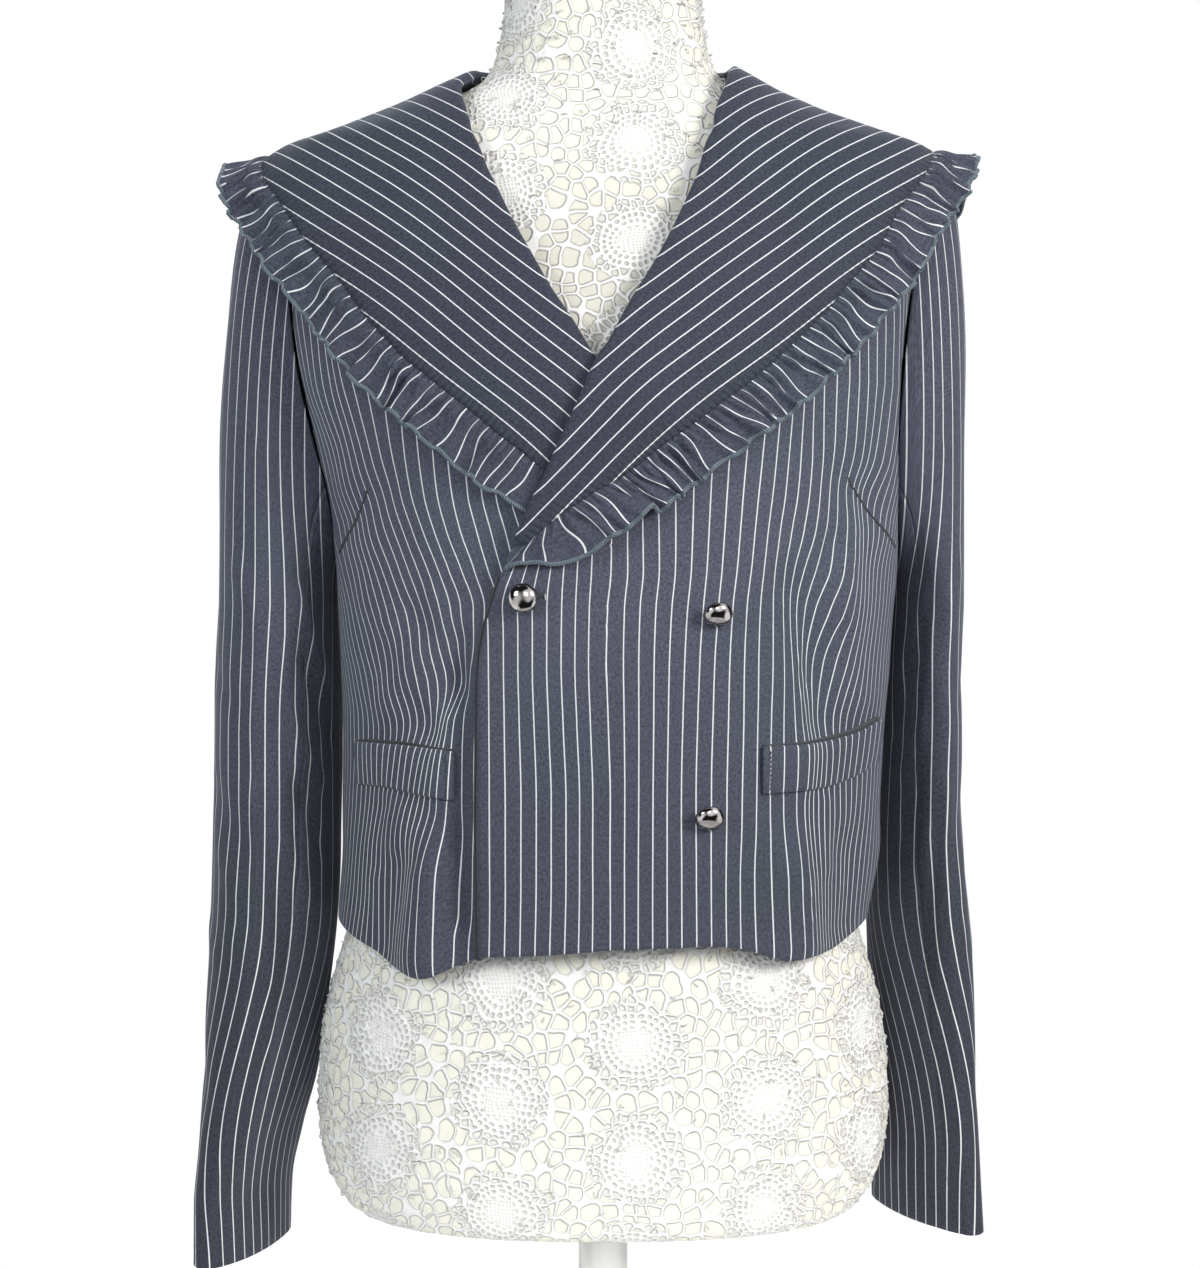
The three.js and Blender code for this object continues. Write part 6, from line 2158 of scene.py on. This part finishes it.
@dataclass
class DressForm:
    """The limbless form in its crochet cover, on a pole and a round base."""

    rows: int = 290
    foot_rows: int = 26
    foot_height: float = 36
    columns: int = 250
    cap_rows: int = 13
    mean_girth: float = 900  # used to set the size of the cover's roughness
    picot_count: int = 1300
    picots_below: float = 0.62  # share of the picots on the hips, the others being at the neck
    picot: Pair = (1.5, 2.0)
    picot_thread: float = 0.38
    pole_radius: float = 14
    stand_radius: float = 130
    base_height: float = 12

    @staticmethod
    def surface(angle: Array, z: Array) -> Array:
        """Returns points of the form: ovals whose half axes come from its table."""
        forward = np.cos(angle)
        depth = np.where(forward >= 0, FORM.read(z, "front"), FORM.read(z, "back"))
        x = FORM.read(z, "side") * WORN.bulge(np.sin(angle))
        return np.stack([x, -depth * WORN.bulge(forward), z], axis=-1)

    def picots(self) -> Object:
        """Makes the small loops of thread that stand out of the cover, where the blazer leaves it bare.

        Returns:
            One object. Each loop is half an oval of thread in a plane through the surface's normal.
        """
        share = np.random.default_rng(7).random((self.picot_count, 4))
        below = share[:, 0] < self.picots_below
        z = np.where(below, mix(94, 256, share[:, 1]), mix(640, 796, share[:, 1]))
        angle = 2 * math.pi * (share[:, 2] - 0.5)
        around = unit(self.surface(angle + 0.01, z) - self.surface(angle - 0.01, z))
        up = unit(self.surface(angle, z + 1) - self.surface(angle, z - 1))
        normal = unit(np.cross(around, up))[:, None]
        lean = 2 * math.pi * share[:, 3, None]
        run = (around * np.cos(lean) + up * np.sin(lean))[:, None]
        turn = np.linspace(0, math.pi, 7)[None, :, None]
        wide, high = self.picot
        high = high * (0.6 + 0.6 * share[:, :1, None])
        path = self.surface(angle, z)[:, None] + run * wide * np.cos(turn)
        path = path + normal * (high * np.sin(turn) - 0.4)
        inward = unit(run * np.cos(turn) + normal * np.sin(turn))
        across = np.cross(run, normal) + 0 * inward
        ring = np.linspace(0, 2 * math.pi, 4, endpoint=False)[:, None]
        wall = inward[:, :, None] * np.cos(ring) + across[:, :, None] * np.sin(ring)
        body = path[:, :, None] + self.picot_thread * wall
        index = np.arange(body[..., 0].size).reshape(body.shape[:3])
        after = np.roll(index, -1, axis=2)
        corner = (index[:, :-1], after[:, :-1], after[:, 1:], index[:, 1:])
        walls = np.stack(corner, axis=-1).reshape(-1, 4)
        faces = np.concatenate([walls, index[:, 0, ::-1], index[:, -1]])
        cut = np.stack(np.broadcast_arrays(4 * turn + 9 * share[:, :1, None], ring[:, 0]), axis=-1)
        return make_mesh("form_picots", body.reshape(-1, 3), faces, {"Cut": cut.reshape(-1, 2)})

    def torso(self) -> Object:
        """Makes the form: ovals up the table, closed by rounded ends.

        Returns:
            The closed object. Its map "Cut" gives the way round from the middle of the front, and up.
        """
        bottom, top = FORM.rows[0][0], FORM.rows[-1][0]
        foot = bottom + self.foot_height
        z = [np.linspace(bottom, foot, self.foot_rows), np.linspace(foot, top, self.rows)[1:]]
        turn = np.linspace(-math.pi, math.pi, self.columns + 1)
        angle, level = np.broadcast_arrays(turn[None], np.concatenate(z)[:, None])
        girth = self.mean_girth * angle / (2 * math.pi)
        rough = 0.5 * wobble(girth, level, 1.0, 9.0) + 0.5 * wobble(girth, level, 2.0, 6.0)
        edge = 1 - 0.03 * smooth(level, top - 5, top)
        edge = edge + 0.015 * rough * smooth(math.pi - np.abs(angle), 0, 0.1)
        body = self.surface(angle, level) * np.stack([edge, edge, np.ones_like(edge)], axis=-1)
        shrink = np.linspace(1, 0, self.cap_rows + 1)[1:, None]
        shrink = np.concatenate([shrink, shrink, 0 * shrink + 1], axis=1)[:, None]
        low = body[:1] * shrink[::-1]
        points = np.concatenate([low, body, body[-1:] * shrink])
        around = running_length(np.linalg.norm(np.diff(points, axis=1), axis=-1))
        around = around - around[:, self.columns // 2, None]
        front = slice(self.columns // 2 - 12, self.columns // 2 + 13)
        climb = np.linalg.norm(np.diff(points[:, front], axis=0), axis=-1).mean(axis=1)
        climb = running_length(climb)
        climb = climb - climb[len(low)] + bottom
        cut = np.stack([around, np.broadcast_to(climb[:, None], around.shape)], axis=-1)
        layers = {"Cut": cut.reshape(-1, 2)}
        obj = make_mesh("form_cover", points.reshape(-1, 3), grid_faces(*points.shape[:2]), layers)
        weld(obj)
        return obj

    def pole(self) -> Object:
        """Makes the pole with softened ends."""
        bottom, top = self.base_height + 0.3, FORM.rows[0][0] - 0.3
        radius, soft = self.pole_radius, 0.8
        side = [[radius - soft, bottom], [radius, bottom + soft], [radius, top - soft], [radius - soft, top]]
        profile = np.array([[0, bottom], *side, [0, top]])
        return lathe("stand_pole", profile, 64, np.array([0, 0, 1.0]), np.zeros(3))

    def base(self) -> Object:
        """Makes the round base, its upper edge rounded and its top falling gently outwards."""
        radius, height = self.stand_radius, self.base_height
        turn = np.radians(np.linspace(0, 80, 9))
        bend = np.stack([radius - 6 + 6 * np.cos(turn), height - 6 + 4 * np.sin(turn)], axis=1)
        under = [[0, 0], [radius - 1, 0], [radius, 1]]
        top = [[radius - 20, height - 1.2], [2 * self.pole_radius, height], [0, height]]
        profile = np.concatenate([under, bend, top])
        return lathe("stand_base", profile, 128, np.array([0, 0, 1.0]), np.zeros(3))


def weld(obj: Object) -> None:
    """Merges points that lie in the same place, and turns the faces outwards."""
    mesh = bmesh.new()
    mesh.from_mesh(obj.data)
    bmesh.ops.remove_doubles(mesh, verts=mesh.verts, dist=1e-6)
    bmesh.ops.recalc_face_normals(mesh, faces=mesh.faces)
    mesh.to_mesh(obj.data)
    mesh.free()


# ---- Studio ----
@dataclass(frozen=True)
class SoftLight:
    """A square soft light: its place, its side in metres, its power in watts, its colour and its aim."""

    name: str
    place: tuple[float, ...]
    size: float
    power: float
    colour: Colour
    aim: tuple[float, ...] = (0, 0, 0.5)

    def build(self) -> None:
        """Adds the light, turned to its aim."""
        data = bpy.data.lights.new(self.name, "AREA")
        data.size, data.energy, data.color = self.size, self.power, self.colour
        light = bpy.data.objects.new(self.name, data)
        light.location = self.place
        light.rotation_euler = (Vector(self.place) - Vector(self.aim)).to_track_quat("Z", "Y").to_euler()
        bpy.context.scene.collection.objects.link(light)


LIGHTS = (
    SoftLight("key", (1.5, -1.5, 1.1), 0.7, 34.0, (1.0, 0.985, 0.96)),
    SoftLight("side", (-1.5, -1.5, 0.95), 0.7, 16.0, (0.92, 0.98, 1.0)),
    SoftLight("front", (0.1, -2.3, 0.9), 0.9, 9.0, (1.0, 1.0, 1.0)),
)


@dataclass
class Studio:
    """Camera, floor and soft light."""

    camera_place: tuple[float, float, float] = (0.0, -1.300, 0.455)
    lens: float = 64.6
    shift: Pair = (-0.0024, -0.0584)
    floor_radius: float = 340
    surround: Pair = (0.1, 0.42)
    window: float = 1.9

    def camera(self) -> None:
        """Makes the camera: level, looking along +Y."""
        data = bpy.data.cameras.new("view")
        data.sensor_fit, data.sensor_width, data.sensor_height = "AUTO", 36.0, 36.0
        data.lens = self.lens
        data.shift_x, data.shift_y = self.shift
        data.clip_end = 50.0
        camera = bpy.data.objects.new("view", data)
        camera.location = self.camera_place
        camera.rotation_euler = (math.pi / 2, 0, 0)
        bpy.context.scene.collection.objects.link(camera)
        bpy.context.scene.camera = camera

    def floor(self, material: Material) -> None:
        """Makes the floor: a round sheet of paper with a thin edge."""
        radius = self.floor_radius
        profile = np.array([[0, -4], [radius, -4], [radius, -0.5], [0, -0.5]], float)
        floor = lathe("studio_floor", profile, 96, np.array([0, 0, 1.0]), np.zeros(3))
        floor.data.materials.append(material)

    def world(self) -> None:
        """Sets the plain white surround."""
        world = bpy.data.worlds.new("surround")
        world.use_nodes = True
        n = Nodes(world.node_tree)
        path = n.add("ShaderNodeLightPath")
        around = n.add("ShaderNodeTexCoord").outputs["Generated"]
        room = n.ramp(n.noise(around, 0.9, 0.0), 0.45, 0.57, 0.03, self.window)
        height = n.add("ShaderNodeSeparateXYZ")
        n.feed(height.inputs[0], around)
        sky = n.ramp(height.outputs[2], -0.4, 0.7, *self.surround)
        strength = n.blend_value(path.outputs["Is Glossy Ray"], sky, room)
        strength = n.blend_value(path.outputs["Is Camera Ray"], strength, 1.0)
        background = world.node_tree.nodes["Background"]
        background.inputs["Color"].default_value = (1, 1, 1, 1)
        n.feed(background.inputs["Strength"], strength)
        bpy.context.scene.world = world
        bpy.context.scene.view_settings.view_transform = "Standard"

    def build(self) -> None:
        """Makes the whole studio."""
        self.camera()
        self.world()
        self.floor(StudioPaper().build("studio_paper"))
        for light in LIGHTS:
            light.build()


# ---- The blazer ----
@dataclass
class Blazer:
    """All the cloth pieces, trims and buttons."""

    left: FrontPanel = field(default_factory=lambda: FrontPanel(1, Grain(1, LEFT_GRAIN)))
    right: FrontPanel = field(default_factory=lambda: FrontPanel(-1, Grain(-1, RIGHT_GRAIN)))

    finish: dict[str, Material] = field(default_factory=dict)

    def sew(self, shell: Shell, finish: str, held: Held, *rests_on: str) -> None:
        """Builds a piece of cloth in one of the blazer's finishes."""
        finish_cloth(shell, self.finish[finish])

    def trim(self, obj: Object, finish: str) -> None:
        """Finishes a small piece that stands for no CAD node."""
        finish_piece(obj, self.finish[finish])

    def panels(self) -> None:
        """Builds the fronts and the back."""
        self.sew(self.right.shell("front_right_cloth"), "cloth", Held.DRAPED, "form_torso")
        self.sew(self.left.shell("front_left_cloth"), "cloth", Held.DRAPED, "front_right")
        self.sew(BackPanel().shell("back_cloth"), "cloth", Held.DRAPED, "form_torso")

    def collar(self) -> None:
        """Builds the collar and its two ruffles with their serged edges."""
        self.sew(CollarPiece().shell("collar_cloth"), "bias", Held.DRAPED, "back", "front_left")
        strips = (
            ("left", Ruffle(1, 1, 13, 0.3, 0, 34, turned_end=(88.0, 34.0))),
            ("right", Ruffle(-1, 6, 10, 0.12, 6, 30, narrow_share=0.85)),
        )
        for name, strip in strips:
            self.sew(strip.shell(f"ruffle_{name}_cloth"), "puckered", Held.GATHERED, "collar")
            self.trim(strip.serging(f"ruffle_{name}_serging"), "serge")

    def sleeves(self) -> None:
        """Builds both two-piece sleeves with their long seams."""
        for name, side, table, crumple in (("right", -1, RIGHT_SLEEVE, 0.6), ("left", 1, LEFT_SLEEVE, 0.3)):
            sleeve = Sleeve(side, table, crumple=crumple)
            (fore, aft), gap, (wide, narrow) = sleeve.seams, sleeve.seam_gap, sleeve.columns
            top = sleeve.shell(f"sleeve_{name}_top_cloth", aft - 360 + gap, fore - gap, wide)
            under = sleeve.shell(f"sleeve_{name}_under_cloth", fore + gap, aft - gap, narrow)
            self.sew(top, "sleeve", Held.DRAPED, "form_torso")
            self.sew(under, "sleeve", Held.DRAPED, f"sleeve_{name}_top")
            # dark lines along the long seams, as painted shade in their grooves
            for place, degrees in (("fore", fore), ("aft", aft)):
                self.trim(sleeve.seam_line(f"sleeve_{name}_{place}_seam", degrees), "dark")

    def details(self) -> None:
        """Builds the welts, darts, buttons and small stitches."""
        sides = (
            ("right", self.right, RIGHT_WELT, 0.95, (-145, 459), (-128, 492)),
            ("left", self.left, LEFT_WELT, 0.05, (162, 462), (132, 499)),
        )
        for name, panel, table, share, *_ in sides:
            welt = PocketWelt(panel, table)
            self.sew(welt.shell(f"pocket_welt_{name}_cloth"), "cloth", Held.STRETCHED, f"front_{name}")
            # a dark tube as painted shadow in each pocket's opening
            self.trim(welt.mouth_shadow(f"pocket_opening_shadow_{name}"), "dark")
            self.trim(welt.stitches(f"pocket_welt_{name}_stitches", share, 9), "dark")
        for name, panel, *_, outer_end, tip in sides:
            self.trim(Dart(panel, outer_end, tip).seam(f"dart_{name}_seam"), "dark")
        # a dark tube beside the wrap's edge as painted shadow
        self.trim(WrapEdgeShadow(self.left).build("wrap_edge_painted_shadow"), "dark")
        hole = Buttonhole(self.left)
        self.trim(hole.line("buttonhole_slit"), "dark")
        self.trim(hole.bar("buttonhole_tack"), "pale")
        for button in BUTTONS:
            finish_piece(button.build(), self.finish["metal"], "gunmetal", button.name)
            self.trim(button.thread(), "dark")

    def build(self) -> None:
        """Makes the materials and every piece."""
        weave_group()
        pinstripe_group()
        self.finish = {
            # Painted light falloff: the body cloth is painted darker towards the hem, the sleeves darker
            # towards the cuff.
            "cloth": Suiting(painted_light_falloff=(270, 480, 0.82, 1.12)).build("pinstripe_suiting"),
            "sleeve": Suiting(painted_light_falloff=(120, 470, 1.0, 0.5)).build("pinstripe_sleeve"),
            # The ruffles and the collar use darker copies of the same cloth: painted shade, darkest on the
            # collar.
            "puckered": Suiting(rgb(70, 73, 88), rgb(64, 73, 85)).build("pinstripe_gathered_painted_shade", puckered=True),
            "bias": Suiting(rgb(58, 61, 75), rgb(54, 62, 73)).build("pinstripe_collar_painted_shade", puckered=True),
            "serge": Thread().build("serging_thread"),
            # dark thread for stitches, also used for the painted shadows of the pocket openings, the wrap's
            # edge and the sleeve seams
            "dark": Thread(rgb(30, 34, 43), rgb(14, 17, 24), 0.8).build("dark_thread_and_painted_shadow"),
            "pale": Thread(rgb(226, 228, 228), rgb(180, 184, 188), 0.8).build("pale_thread"),
            "metal": Gunmetal().build("gunmetal_mirror"),
        }
        self.panels()
        self.collar()
        self.sleeves()
        self.details()


def build_form() -> None:
    """Builds the covered form and its stand."""
    form = DressForm()
    finish_piece(form.torso(), CrochetCover().build("crochet_cover"), "form_cover", "form_torso")
    thread = Thread(rgb(252, 252, 249), rgb(216, 214, 208), 1.3)
    finish_piece(form.picots(), thread.build("picot_thread"))
    paint = PaintedMetal().build("stand_paint")
    finish_piece(form.pole(), paint, "stand_metal", "form_pole")
    finish_piece(form.base(), paint, "stand_metal", "form_base")


def corners(bounds: object) -> list[list[float]]:
    """Returns a pair of corners as plain lists of numbers."""
    return [[float(value) for value in corner] for corner in bounds]


def main() -> None:
    """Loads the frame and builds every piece."""
    logging.basicConfig(level=logging.INFO, format="%(message)s")
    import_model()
    Studio().build()
    Blazer().build()
    build_form()
    bpy.context.view_layer.update()


if __name__ == "__main__":
    main()
